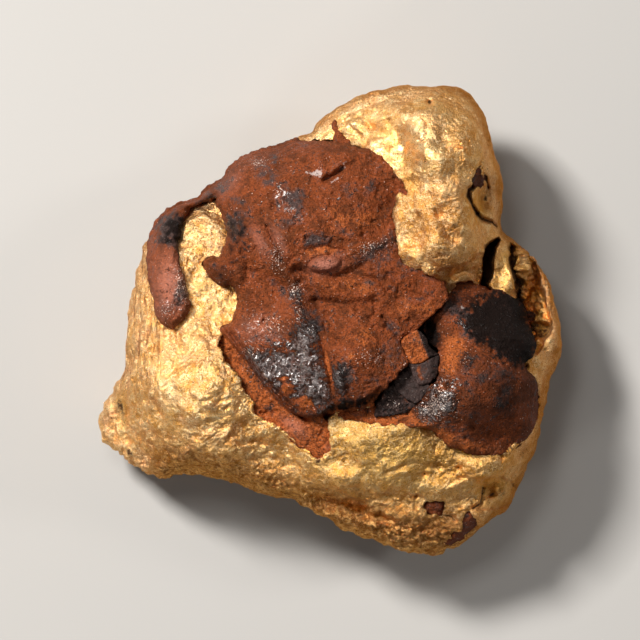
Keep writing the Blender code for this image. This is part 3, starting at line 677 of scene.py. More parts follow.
# Where each mask is strong, as swellings of it. The stones' paint below is the same.
GOLD_PAINT = {
    "stain_and_shade": [
        (0.8, -22.7, -9.5, 0.35, 2, 12), (0.8, -21.6, -14.2, 0.9, 0.4, -40), (0.8, 16.9, 13.1, 0.35, 0.5),
        (0.5, 12.6, 24.6, 3.5, 0.5), (0.5, 3, 22.6, 2.5, 0.5, 25), (0.5, 18.9, 6.6, 0.5, 1),
    ],
    "amber_and_shade": [
        (0.8, 16.4, 12.4, 1, 1.6, -10), (0.6, 7, 19.6, 0.6, 1, 30), (0.6, 7.6, 17.4, 1, 0.4),
        (0.5, -22.6, -10, 0.6, 3, 10), (0.5, 19, 6.4, 0.6, 1.2), (1, 17.7, -17.9, 1.3, 0.8, 10),
        (0.5, 8.7, 15, 0.9, 1.8), (0.4, 8, -14.5, 10, 4.5),
    ],
    "pale": [
        (0.9, 8, -14.5, 9, 3.4), (0.9, 18, -19, 2.2, 1.6), (0.9, 18.8, 4.5, 1.4, 3.5, -15),
        (0.5, 15.9, 12.4, 0.6, 1.6, 20),
    ],
    # Patches of painted shade on the upper lobe.
    "painted_shade": [(0.9, 8.3, 14.8, 1.1, 2.2), (0.5, 10.2, 10, 3.4, 3.4)],
    "polish": [
        (0.9, 8.6, 18.4, 2, 2.6, 8), (0.4, 10.8, 19, 2.6, 2.8), (0.5, -23.2, -10, 1.6, 4, 12),
        (0.5, 2.4, 21.2, 1.4, 1.1, 20), (0.5, -0.4, 19.9, 1.4, 0.8, 20), (0.5, 5.3, 18.5, 1.3, 1, -30),
        (0.5, 18.8, 5.4, 1, 2.6, -10), (0.5, 18, -19, 2, 1.4),
    ],
}


def low_side(x, y):
    return rise(-y - 0.28 * (x + 20), 10.5, 5) * rise(x, -21, 4)


def lower_edge(x, y):
    return rise(-y - 0.25 * (x + 20), 13.5, 3) * rise(-x, -17, 4)


def left_bulge(x, y):
    return rise(-x, 8, 4) * rise(-y, -3, 4)


def left_edge(x):
    return rise(-x, 17.5, 2.5)


def gold_detail(places, facing, edge_gap):
    """How far the gold's skin stands out at each point, from its fine relief."""
    x, y, z = places.T
    upper_lobe = rise(x, 4, 3) * rise(y, 5, 3)
    height = np.zeros(x.shape)
    for amount, size, octaves, seed, lower in SKIN_LUMPS:
        height += amount * (1 - lower * upper_lobe) * noise_at(x, y, z, size, octaves, seed)
    height *= 1 - swelling(x, y, 0.4, 8, -14, 9, 3.4)  # calmer on the shelf
    flakes = np.abs(noise_at(x, y, z, 1.1, 3, seed=5.5)) - 0.3
    level = 0.35 + 0.65 * rise(facing[:, 2], 0.1, 0.5)
    height += 0.7 * np.maximum(lower_edge(x, y), low_side(x, y)) * level * flakes
    along, across = 0.8 * x + 0.6 * y, 0.8 * y - 0.6 * x
    wrinkles = noise_at(along, across, z, 0.8, 3, seed=1.3, stretch=(1.6, 0.8, 1))
    height += 0.18 * left_bulge(x, y) * (0.3 - np.abs(wrinkles))
    height += 0.45 * left_edge(x) * noise_at(x, y, z, 0.5, seed=6.1, stretch=(0.8, 5, 5))
    dimples = np.abs(noise_at(x, y, z, 1.3, 2, seed=7.7))
    height += 1.1 * sunk(x, y, 0.6, CUP) * (0.3 - dimples)
    lip = beside(edge_gap, 0.45) * rise(facing[:, 2], -0.2, 0.6)
    return height + 0.16 * lip * (0.5 + noise_at(x, y, z, 0.7, seed=4.4))


def gold_carving(x, y):
    """How far the creases, dents and hollows take the gold's face down."""
    creases = [(depth, half_width, line) for depth, half_width, _, line in FINE_CREASES]
    drop = furrows(x, y, creases) - furrows(x, y, FINE_RIDGES)
    return drop + patches(x, y, DARK_PITS + DENTS) + hollows(x, y, CARVINGS)


def gold_masks(places, facing, edge_gap):
    """Where each colour and wear of the gold lies."""
    x, y, z = places.T
    cloud = noise_at(x, y, z, 1.6, 3, seed=9)
    broad = noise_at(x, y, z, 4, 2, seed=12)
    paint = painted(x, y, GOLD_PAINT)
    near_rim = rise(rim_share(x, y), 0.9, 0.08)
    low, left, cup = low_side(x, y), left_edge(x), sunk(x, y, 0.5, CUP)
    # Iron stain along the stones' edges and in creases and pits, with painted shade in the hollows, and
    # darker on faces that look down.
    stain_and_shade = beside(edge_gap, 0.3) * (0.25 + 0.7 * cloud)
    stain_and_shade += furrows(x, y, [(dark, half_width, line) for _, half_width, dark, line in FINE_CREASES])
    stain_and_shade += patches(x, y, [(1, *pit[1:]) for pit in DARK_PITS]) + hollows(x, y, HOLLOW_SHADE)
    stain_and_shade = (stain_and_shade + paint["stain_and_shade"]) * rise(facing[:, 2], -0.1, 0.4)
    stain_and_shade += 0.8 * rise(-facing[:, 2], 0.1, 0.5) * rise(cloud, 0.12, 0.3)
    tan = near_rim * (0.6 + 0.5 * cloud) + 0.5 * left_bulge(x, y) * rise(cloud, 0.05, 0.3)
    tan += 0.4 * rise(y, 5, 3) * rise(broad, -0.1, 0.4)
    # Painted shade: darker on the low side, towards the right, in the outermost band of the rim and in a
    # few patches.
    painted_shade = 1.4 * low + 0.35 * rise(x, 9, 5) + paint["painted_shade"]
    painted_shade += 0.7 * rise(rim_share(x, y), 0.95, 0.05) * rise(x, -14, 4)
    return {
        "stain_and_shade": stain_and_shade,
        # Amber tint, partly painted shade inside the cup and on the upper lobe's shaded side.
        "amber_and_shade": cup * (0.35 + 0.9 * cloud) + paint["amber_and_shade"],
        "pale": paint["pale"],
        "tan": tan,
        "painted_shade": painted_shade,
        "polish": 0.1 * sunk(x, y, 0.6, CUP) + paint["polish"],
        "rough": low + 0.8 * left + 0.5 * near_rim,
        "streaked": rise(-x + 0.12 * y, 16.8, 2) * rise(y, -9, 3),
        "hammered": low_side(x, y - 1.5),
    }


def make_gold(look):
    sockets = [
        ragged_loop(outline, seed=number, grow=-GOLD_OVERLAP if outline in INLAYS else 0)
        for number, outline in enumerate(SOCKETS, start=1)
    ]
    shape = gold_shape(sockets)
    gold = closed_object("gold_mass", shape, cut_sockets(shape), look)
    mesh = gold.data
    places = read_vectors(mesh.vertices, "co") / MM
    facing = read_vectors(mesh.vertex_normals, "vector")
    x, y, z = places.T
    edge_gap = distance_to_loop(x, y, np.concatenate(sockets))
    for name, values in gold_masks(places, facing, edge_gap).items():
        set_mask(mesh, name, values)
    detail = gold_detail(places, facing, edge_gap) * soft_step(z / GROUND_FADE)
    moved = places + facing * detail[:, None]
    drop = gold_carving(x, y) * rise(facing[:, 2], -0.1, 0.3) * (z > CARVED_FROM)
    level = moved[:, 2] - drop
    level = np.where(drop > 0, np.maximum(level, np.minimum(z, DEEPEST_HOLLOW)), level)
    moved[:, 2] = np.maximum(level, 0)
    mesh.vertices.foreach_set("co", (moved * MM).ravel())
    mesh.update()
    return gold


# ------------ the stones' tops

STONE_MASKS = ["dark", "bright", "pink", "white", "shade", "glint", "steel"]
CRACK_DROP = 0.3  # of a stone's edge along the crack
CRACK_ROUND = 0.2  # width of that edge's rounding
UNDER_GOLD = 0.02  # of its edge everywhere else, below the gold
EDGE_ROUND = (0.3, 0.33)  # width of that rounding, and what each height over the gold adds
CHIP_EDGE = (0.22, 0.12)  # width and drop
INCLUSION_EDGE = (0.4, 0.35)


def settled_edge(x, y, heights, depth):
    """Rounds a stone's edge down to just under the gold, but keeps it sharp along the crack."""
    crack = rise(depth_inside(x, y, CRACK_FLOOR), -2, 1.2)
    lowest = (gold_level(x, y) - UNDER_GOLD) * (1 - crack) + (heights - CRACK_DROP) * crack
    proud = np.maximum(heights - lowest, 0)
    width = (EDGE_ROUND[0] + EDGE_ROUND[1] * proud) * (1 - crack) + CRACK_ROUND * crack
    inwards = 1 - np.clip(depth / width, 0, 1)
    return heights - proud * (1 - np.sqrt(1 - inwards**2))


def rocky(x, y, seed):
    """Weathered stone: broad swells, a few broken pits and grit."""
    height = 0.55 * flat_noise(x, y, 3.6, 2, seed)
    height -= 0.18 * np.abs(flat_noise(x, y, 1.5, 3, seed + 4))
    height -= 0.7 * np.maximum(flat_noise(x, y, 0.9, 2, seed + 7) - 0.3, 0)
    return height + 0.07 * flat_noise(x, y, 0.4, 2, seed + 5)


def tilted(x, y, place, height, slope_x, slope_y):
    return height + slope_x * (x - place[0]) + slope_y * (y - place[1])


# The glossy black zone at the lower left of the main stone, and the ledge under its lower edge.
BLACK_ZONE = [
    (-8.9, -3.4), (-7.2, -3.1), (-5, -2.6), (-3.5, -1.6), (-1.8, -1.6), (-1.2, -3.2), (-0.4, -5.1),
    (0.1, -7), (-0.1, -8.6), (-0.8, -9.9), (-2.6, -9.7), (-4.2, -8.6), (-5.5, -7.7), (-7.2, -6.4),
    (-8.3, -4.8),
]
LOWER_LEDGE = [
    (-0.9, -9.9), (0.3, -9.2), (1.8, -9), (3.2, -8.6), (4.4, -7.9), (5.6, -7), (6.2, -9), (4, -11),
    (0, -11),
]
DOME_LUMPS = [
    (4.2, 2, -4.5, 8.5, 7), (3.4, -1, 9, 9, 8), (-1.2, -3, 2.5, 7, 1.6, -25), (-0.5, -3, 5.4, 1, 0.7),
    (-0.6, -5.4, 6.7, 0.4, 0.5, 20), (0.5, 1.2, 16.9, 1.2, 0.5, 30), (-0.9, 6.8, 12.6, 1.6, 2.2),
]
DOME_CREASES = [
    (0.5, 0.15, [(-6.7, 10.2), (-5.9, 8.4), (-5.3, 7.2), (-4.3, 6.1)]),
    (0.9, 0.55, [(-3.6, 5.4), (-2.1, 4.9), (0.6, 4.7), (2.4, 5.1), (3.6, 5.8)]),
    (0.6, 0.45, [(-1.6, 2.1), (1.4, 1.7), (4.9, 2)]), (0.5, 0.35, [(-2.4, 7.5), (-0.4, 7.9), (1.5, 7.4)]),
    (1.1, 0.24, [(-0.5, 15.1), (0.4, 15.5), (1.4, 16.3)]),
    (0.8, 0.25, [(-11.4, -0.3), (-9.3, -3.2), (-7.2, -6.2), (-5.3, -8), (-3.5, -9.9), (-2.4, -10.9)]),
    (0.5, 0.28, [(-1.2, -1), (-0.5, -3.2), (0.1, -5.9), (0.4, -7.6)]),
    (0.7, 0.9, [(-2.2, 4.2), (-1, 1.4), (0.4, -1)]), (0.5, 0.18, [(5.7, 0.4), (7.1, -1.4), (7.9, -2.6)]),
    (0.6, 0.22, [(-13.2, 5.2), (-13, 4.9), (-12.3, 4.2)]), (0.35, 0.3, [(6.4, 5), (8, 3.2), (10.6, 2.4)]),
    (0.4, 0.25, [(3.7, 4.8), (5.5, 4.3), (6.2, 3.2)]), (0.4, 0.5, [(-10, 9.2), (-8.6, 6), (-9.2, 3.2)]),
]
DOME_RIDGES = [
    (0.5, 0.5, [(-7.6, 10.6), (-7.1, 8.4), (-6, 6.6), (-4.6, 5.2)]),
    (0.3, 0.45, [(-6, 10), (-4.8, 8.4), (-4.4, 7.2)]),
    (0.8, 1.1, [(-4.2, 4.2), (-3.6, 1.5), (-3.2, -1), (-2.2, -3.4), (-1.6, -5)]),
    (0.35, 0.45, [(-8.9, -2.9), (-6.2, -3.2), (-3.6, -3.4)]),
    (0.5, 0.35, [(0.7, -4.6), (1.1, -5.9), (1.3, -7)]),
    (0.35, 0.5, [(-6.8, -6), (-4.6, -6.8), (-2.4, -7.4), (-0.4, -8.2)]),
    (0.3, 0.6, [(1.5, 7), (4, 8), (6, 8.6)]),
]
DOME_LEVEL = 20.4
TAIL_DROP = 1.9
LEDGE_DROP = 2.4
# The smooth pink oval in the dome, the groove round it and the glossy bumps of the black zone.
LENS = [(-2.1, 5.8), (-1.2, 6.6), (0.4, 6.9), (1.2, 6.5), (0.8, 5.7), (-0.4, 5.3), (-1.5, 5.3)]
LENS_RIM = [(-2.5, 5.8), (-1.3, 6.9), (0.4, 7.2), (1.5, 6.6), (1, 5.4), (-0.4, 5), (-1.7, 5)]
PINK_LENS = (1.5, -0.43, 6.1, 1.75, 0.85, 8)
GLOSSY_BUMPS = [(0.25, -4.4, -7.3, 0.8, 0.7, 20), (0.3, -2.4, -8.8, 0.9, 0.75, -20)]
MAIN_PAINT = {
    "dark": [
        (0.9, 1.6, -6.4, 1.2, 2.2), (0.8, -3.6, 2.4, 1, 2.2, 20), (0.7, -1.2, -0.6, 1, 1.8, 15),
        (0.9, 6.4, -3.6, 2, 1.2, 30), (2.2, -16.9, 10, 1.5, 1.6, -28), (1.4, -17.6, 8.5, 0.9, 0.7),
        (1.3, -16, 7.6, 0.5, 2), (1, -12.6, 13.7, 2.4, 0.7, 38), (1.6, -16, 2.9, 0.8, 1.5, -10),
        (0.9, 5.2, 7.6, 3, 0.9, 25), (0.9, -1.3, 8.6, 1.4, 1.2), (0.9, -3.6, 13.6, 1.4, 0.8, -30),
        (0.8, -5.8, 17.6, 1.2, 1.4, 20), (0.6, 4.4, -7.4, 2.6, 1.4, 35), (0.8, -5.4, -1.4, 3.4, 1.2, 12),
        (0.6, -1.4, 2.4, 0.8, 1.6, 10), (0.6, -10.4, 2.8, 0.8, 1.6), (0.5, 2.6, 12.4, 1.2, 2, 30),
        (0.8, -9.9, 9.8, 1.5, 1.9), (0.8, -9.4, 12.8, 1.2, 0.6), (0.8, 4.6, 14.4, 0.9, 0.7),
        (0.9, 5.6, 4.6, 0.8, 0.5, 30), (0.8, 6.4, -0.2, 1.2, 0.6, -45), (0.8, -11.8, 5, 1, 1.4),
        (0.7, -4.6, 10.4, 1.2, 0.8, 40), (0.6, -4.5, 12.4, 2.6, 1, -10), (0.7, -6.5, 15.5, 1.6, 1),
        (0.6, -10.6, 10.8, 1.6, 1.2, 30), (0.5, 0.6, 9.6, 2.2, 0.8, 15),
    ],
    "spots": [
        (1.6, -4.4, -7.3, 0.65, 0.6, 20), (1.8, -2.4, -8.8, 0.8, 0.65, -20), (1.2, -4.9, -6.2, 0.4, 0.3),
        (1.2, 2.4, -3.8, 0.5, 0.5), (1.5, -0.1, -5, 0.22, 2.2, 10), (0.8, 2.6, 3.6, 3, 0.9, -5),
        # The patch at (-17.6, 5.2) is painted light on the lit side of the left arm.
        (0.6, -17.6, 5.2, 1.2, 2.4), (1.3, -0.5, 7.4, 1.9, 0.5, 5), (0.5, -7, -0.2, 2.4, 1.6, -10),
        (0.6, 9.4, 1.4, 2.6, 1.4), (0.9, 3.6, -2, 1.2, 1.2), (0.8, 0.6, 11, 1.6, 1.6),
        (0.7, 4.4, 10.6, 1.6, 1),
    ],
    # Pink of the stone in the lens, with painted sheen on the lit ridges, the left arm and the tail.
    "pink": [
        (1, -0.43, 6, 1.6, 0.8, 8), (0.5, -5.4, 8.6, 0.5, 1.6, 25), (0.5, -7.4, 8.4, 0.6, 1.8, 25),
        (0.8, -17.2, 4, 1.4, 3), (0.4, -7.4, -0.8, 2, 1.4), (0.4, -11, 14.6, 1.6, 0.8, 40),
        (0.6, -3.9, -11.2, 1.4, 0.6, -30),
    ],
    "white": [
        (1.1, -1.3, 15.8, 0.55, 0.45), (0.5, -2.4, 16, 0.8, 0.25, -10), (0.9, 1.5, 16.4, 0.35, 0.6, -20),
        (0.7, 0.7, 15.1, 0.9, 0.14, 32),
    ],
    "shade": [
        (0.5, -3, 5.4, 0.8, 0.5), (0.8, -5.2, 6.7, 0.35, 0.5), (0.65, -9.8, 9, 1.9, 3.8),
        (1.3, -16.7, 10, 1.2, 1.5, -28), (0.8, -17.6, 8.4, 0.8, 0.5, 10), (0.7, -16.1, 7.8, 0.3, 1.8),
        (0.45, -15.9, 3, 0.5, 1.1), (0.45, -11.6, 5.2, 1.6, 1), (1.1, 2.6, -8.9, 3.2, 0.8, 14),
        (0.4, -3.4, -1, 1.2, 2.6, 10), (0.35, 3, 5.2, 2.6, 0.5, 12),
    ],
    "glint": [
        (1, -5.6, 6.9, 0.9, 1.8, 20), (1, -15.8, 3.8, 1, 2.2), (0.7, -17.4, 1, 1, 1),
        (1, -3.6, 3.4, 0.8, 1), (0.8, -3.2, 1.2, 0.5, 1.6), (0.9, 4.6, 7.8, 2, 0.8, 20),
        (0.9, -7.6, 17, 0.9, 0.5), (0.9, -8.2, -3.4, 1.4, 0.6, -20), (0.7, 4.2, -3.9, 1.4, 0.9),
        (0.8, -5.2, 13.8, 0.8, 0.8), (0.6, -6.2, -0.4, 2.2, 1.2), (0.5, 8.2, -4.8, 0.8, 0.8),
    ],
    "steel": [
        (0.5, -16.2, 2.9, 0.6, 1.2, -10), (0.4, -11.6, 14.4, 1.6, 0.5, 38),
        (0.8, 1.2, -6.4, 0.8, 1.8, 10), (0.6, -2.2, -0.6, 1.4, 1.2), (0.6, -3.2, 2, 0.5, 1.4, 15),
    ],
}


def main_stone_top(x, y, depth):
    relief = DOME_LEVEL + rocky(x, y, 5.3) + patches(x, y, DOME_LUMPS)
    relief += 0.4 * np.minimum(lens(x, y, *PINK_LENS), 1)
    relief -= 0.25 * (sunk(x, y, 0.3, LENS_RIM) - sunk(x, y, 0.3, LENS))
    for bump in GLOSSY_BUMPS:
        relief += lens(x, y, *bump)
    tail = soft_step(depth_inside(x, y, TAIL) / 0.35)
    ledge = soft_step(depth_inside(x, y, LOWER_LEDGE) / 0.45)
    steel = sunk(x, y, 3, BLACK_ZONE)
    relief -= TAIL_DROP * tail + LEDGE_DROP * ledge
    relief += 0.55 * steel * flat_noise(x, y, 1.7, 4, 15)
    relief += 0.45 * rise(-x, 13.5, 1.5) * flat_noise(x, y, 1.4, 3, 17)
    relief += furrows(x, y, DOME_RIDGES) - furrows(x, y, DOME_CREASES)
    relief = on_shoulder(x, y, relief, LEAST_SHOULDER)

    cloud = flat_noise(x, y, 2.2, 3, 11)
    fine = flat_noise(x, y, 0.6, 3, 13)
    masks = painted(x, y, MAIN_PAINT)
    spots = masks.pop("spots")
    masks["dark"] = masks["dark"] * (0.8 + 0.6 * fine) + 0.3 * cloud - 0.1 - spots
    masks["bright"] = spots * (0.8 + fine) + 0.75 * tail + ledge + 0.3 * cloud
    masks["white"] *= 0.8 + 1.2 * fine
    masks["shade"] *= 0.8 + 0.8 * fine
    masks["steel"] += steel * (1 + 0.8 * fine + 0.6 * cloud) - 1.2 * spots
    return settled_edge(x, y, relief, depth), masks


# The flat face on the right block, painted black: dark stone with painted shade, as it turns from the
# light.
FACET = [
    (14.7, 0.5), (15.9, 1.6), (18.5, 3.1), (20.5, 2.3), (21.5, 0), (22.3, -2.1), (21.8, -4.3),
    (19.4, -4.2), (18, -3.3), (17, -2.4), (16.2, -2.3), (15.1, -1.2),
]
FACET_GROOVE = (0.35, 0.25, [(13.2, 0.9), (14.7, 0.4), (15.3, -1.1), (17, -2.4)])
FACET_TILT = ((13.6, -1), 22.2, -0.44, -1.0087)  # a place, its height, slopes across and up
FACET_LOW = 17.6  # the height at which the facet levels out
BLOCK_LEVEL = 19.8
BLOCK_LUMPS = [(4.4, 14.8, -8, 6, 5.5), (-1.8, 10.9, -1.6, 0.7, 1.3, 15), (0.5, 11.9, -8.3, 1.3, 1.9)]
LOW_CORNER = (-2, 17.5, -12.5, 4, 2.6, -20)
BLOCK_PAINT = {
    "dark": [
        (0.5, 15.2, -4.8, 1.3, 1.6, 30), (0.4, 15, -9.6, 1.4, 1.6), (0.6, 13, 1.6, 1.6, 1.2),
        (0.4, 19, -6.4, 3.6, 3),
    ],
    "bright": [
        (1.2, 13.7, -2.6, 1.2, 1.2, 20), (1.3, 13, -4.6, 1, 1.6), (1, 13.4, -12.9, 2.4, 0.7, -18),
        (1.1, 10.4, -11.1, 2.8, 0.7, -32), (1.5, 5.2, -10.8, 3.6, 0.8, -4), (1.4, 12.1, -7.2, 0.25, 0.2),
        (1.2, 10.9, -6.9, 0.22, 0.22), (0.5, 15.5, -13.6, 3, 0.6, -10),
    ],
    "shade": [(0.9, 11, -1.4, 0.9, 1.8, 15), (0.55, 14.6, 2.7, 2.2, 1.2), (0.25, 18.6, -8.4, 5, 5.5)],
    "white": [(0.9, 14.4, 1.4, 0.35, 0.2, -20)],
    "glint": [
        (1.3, 11.9, -8.8, 1.5, 2, -10), (0.9, 10.2, -9.8, 0.9, 0.8), (0.5, 14.8, -4.2, 0.9, 0.9),
        (0.4, 18.2, -9, 0.5, 0.5),
    ],
    "steel": [(0.5, 14.4, -0.4, 0.9, 0.4, -30), (-2, 12.1, -7.2, 0.4, 0.35)],
}


def right_block_top(x, y, depth):
    relief = BLOCK_LEVEL + 0.8 * rocky(x, y, 9.1) + patches(x, y, BLOCK_LUMPS)
    facet = tilted(x, y, *FACET_TILT) + 0.16 * flat_noise(x, y, 0.9, 4)
    facet = FACET_LOW + np.logaddexp(0, (facet - FACET_LOW) * 2) / 2
    relief = np.minimum(relief, facet) + swelling(x, y, *LOW_CORNER)
    relief = on_shoulder(x, y, relief - furrow(x, y, *FACET_GROOVE), LEAST_SHOULDER)

    fine = flat_noise(x, y, 0.6, 3, 23)
    cloud = flat_noise(x, y, 2, 3, 21)
    # The facet gets dark stone colour and painted shade.
    black = soft_step(depth_inside(x, y, FACET) / 1.1 + 0.9 * fine + 0.55)
    masks = painted(x, y, BLOCK_PAINT)
    masks["dark"] += black + 0.45 * cloud
    masks["bright"] *= 1 - black
    masks["shade"] = masks["shade"] * (1 + 0.7 * cloud) + 0.2 + black * (0.75 - 0.1 * fine)
    masks["steel"] += masks["glint"] * (0.9 + 1.2 * fine)
    return settled_edge(x, y, relief, depth), masks


def rounded_edge(depth, width, drop):
    return drop * (1 - np.clip(depth / width, 0, 1)) ** 2


def middle_of(outline):
    return smooth_loop(outline).mean(axis=0)


def chip_top(centre, height, slope_x, slope_y, paint):
    """An almost flat, tilted top."""

    def top(x, y, depth):
        flat = tilted(x, y, centre, height, slope_x, slope_y)
        flat += 0.14 * flat_noise(x, y, 1, 4, 31) - rounded_edge(depth, *CHIP_EDGE)
        return flat, paint(x, y, flat_noise(x, y, 0.5, 2, 33))

    return top


def red_chip_paint(x, y, fine):
    # The right side, turned from the light, gets dark colour and painted shade.
    shaded_side = rise(x + 0.4 * (y + 3), 10.1, 0.4)
    return {"dark": shaded_side, "shade": 0.7 * shaded_side, "bright": (1 - shaded_side) * (0.9 + fine)}


def grey_chip_paint(x, y, fine):
    streak = swelling(x, y, 0.8, 9.7, -5.6, 0.3, 0.8, 20)
    shade = 0.25 + 0.4 * rise(x, 10.6, 0.6)
    return {"dark": 0.8 + 0.5 * fine - streak, "bright": streak, "shade": shade}


def black_chip_paint(x, y, fine):
    return {"dark": 1 + 0.1 * fine, "shade": 0.5 + 0.2 * fine}


def low_chip_paint(x, y, fine):
    glint = swelling(x, y, 0.8, 6.8, -8.9, 1.2, 0.7, -20)
    return {"dark": 0.8 + 0.6 * fine, "shade": 0.55 + 0.5 * fine, "glint": glint}


def inclusion_top(proud, tints):
    """A small piece that follows the gold around it, a little proud of it."""

    def top(x, y, depth):
        height = gold_level(x, y) + proud + 0.12 * flat_noise(x, y, 0.5, 3, 41)
        masks = {name: strength + 0 * x for name, strength in tints.items()}
        return height - rounded_edge(depth, *INCLUSION_EDGE), masks

    return top


# ------------ the stones

CHIP_SPACING = 0.09  # between the points of a small stone's top
STONE_CLEARANCE = 0.5  # of the spacing, between those points and the outline
STONE_GROWTH = 0.05
WALL_RINGS = 9
WALL_BULGE = 0.3  # how far a stone's wall wanders
WALL_LUMPS = 1.6  # size of the wall's lumps


def make_stone(name, look, outline, top, floor, spacing=CHIP_SPACING, grow=STONE_GROWTH, taper=0.0):
    """A stone: a fine sheet inside its outline, turned down at the edge and closed below."""
    loop = ragged_loop(outline, STONE_WANDER, STONE_SEED, grow)
    grid = hex_grid(loop.min(axis=0), loop.max(axis=0), spacing)
    grid = grid[is_inside(*grid.T, loop)]
    grid = grid[distance_to_loop(*grid.T, loop) > STONE_CLEARANCE * spacing]
    flat, triangles = triangulated([loop], grid)
    triangles = triangles[is_inside(*flat[triangles].mean(axis=1).T, loop)]
    depth = distance_to_loop(*flat.T, loop)
    heights, masks = top(*flat.T, depth)
    masks = {mask: masks.get(mask, 0 * depth) for mask in STONE_MASKS}
    shape = sheet_shape(np.column_stack([flat, heights]), triangles, masks)
    edges = open_edges(shape)
    for ring in range(1, WALL_RINGS + 1):
        edges, verts = drawn_out(shape, edges)
        narrower = taper * 2 * ring / WALL_RINGS**2
        for vert in verts:
            bulge = WALL_BULGE * noise.noise(vert.co / MM / WALL_LUMPS) - narrower
            outwards = Vector((vert.co.x, vert.co.y, 0)).normalized()
            vert.co.z += (floor * MM - vert.co.z) / (WALL_RINGS + 1 - ring)
            vert.co += outwards * (bulge * MM)
    return closed_object(name, shape, edges, look)


# ------------ finishes


class Value:
    """A socket that adds a Math node when it is used in an expression."""

    def __init__(self, look, socket):
        self.look = look
        self.socket = socket

    def __add__(self, other):
        return self.look.maths("ADD", self, other)

    def __sub__(self, other):
        return self.look.maths("SUBTRACT", self, other)

    def __rsub__(self, other):
        return self.look.maths("SUBTRACT", other, self)

    def __mul__(self, other):
        return self.look.maths("MULTIPLY", self, other)

    __radd__ = __add__
    __rmul__ = __mul__


class Look:
    """A finish: one Principled shader and the nodes that feed it."""

    def __init__(self, name, **fixed):
        self.material = bpy.data.materials.new(name)
        self.material.use_nodes = True
        self.tree = self.material.node_tree
        self.shader = self.tree.nodes["Principled BSDF"]
        for socket, value in fixed.items():
            self.shader.inputs[socket.replace("_", " ")].default_value = value
        coordinates = self.add("ShaderNodeTexCoord", {}, {}, "Object")
        self.place = self.vector("SCALE", {0: coordinates, "Scale": 1 / MM})
        self.colour = None
        self.normal = None

    def add(self, kind, settings, values, output=0):
        """A node with its settings and the values or links of its sockets."""
        node = self.tree.nodes.new(kind)
        for name, setting in settings.items():
            setattr(node, name, setting)
        for name, value in values.items():
            if isinstance(value, Value):
                self.tree.links.new(value.socket, node.inputs[name])
            else:
                node.inputs[name].default_value = value
        return Value(self, node.outputs[output])

    def maths(self, operation, *values):
        return self.add("ShaderNodeMath", {"operation": operation}, dict(enumerate(values)))

    def vector(self, operation, values):
        return self.add("ShaderNodeVectorMath", {"operation": operation}, values)

    def mask(self, name):
        return self.add("ShaderNodeAttribute", {"attribute_name": name}, {}, "Fac")

    def noise(self, scale, detail=2.0, roughness=0.5, distortion=0.0, place=None):
        values = {"Vector": place or self.place, "Scale": scale, "Detail": detail}
        values.update(Roughness=roughness, Distortion=distortion)
        return self.add("ShaderNodeTexNoise", {}, values)

    def steps(self, value, low, high):
        """0 below low and 1 above high, smooth between them."""
        values = {"Value": value, "From Min": low, "From Max": high}
        return self.add("ShaderNodeMapRange", {"interpolation_type": "SMOOTHSTEP"}, values)

    def mix(self, share, first, second):
        values = {0: share, 6: first, 7: second}
        return self.add("ShaderNodeMix", {"data_type": "RGBA"}, values, 2)

    def paint(self, share, colour):
        """Covers a share of the colour so far."""
        self.colour = self.mix(share, self.colour, colour)

    def bump(self, height, distance):
        """Adds to the bumps so far."""
        values = {"Height": height, "Distance": distance * MM, "Strength": 1.0}
        if self.normal:
            values["Normal"] = self.normal
        self.normal = self.add("ShaderNodeBump", {}, values)

    def feed(self, socket, value):
        self.tree.links.new(value.socket, self.shader.inputs[socket])


RICH_GOLD = (0.77, 0.37, 0.085, 1)
WARM_GOLD = (0.95, 0.57, 0.205, 1)
HIGHLIGHT_GOLD = (1.00, 0.84, 0.53, 1)
GREEN_GOLD = (0.70, 0.41, 0.09, 1)
AMBER_GOLD = (0.70, 0.38, 0.06, 1)
TAN_GOLD = (0.78, 0.45, 0.27, 1)
SHADE_GOLD = (0.42, 0.145, 0.020, 1)
KNOCK_SHADE_GOLD = (0.20, 0.070, 0.012, 1)
KNOCK_HIGHLIGHT_GOLD = (0.98, 0.64, 0.24, 1)
FLECK_BROWN = (0.42, 0.19, 0.085, 1)
PIT_BROWN = (0.20, 0.075, 0.025, 1)
RUST_AND_SHADE = (0.045, 0.014, 0.005, 1)


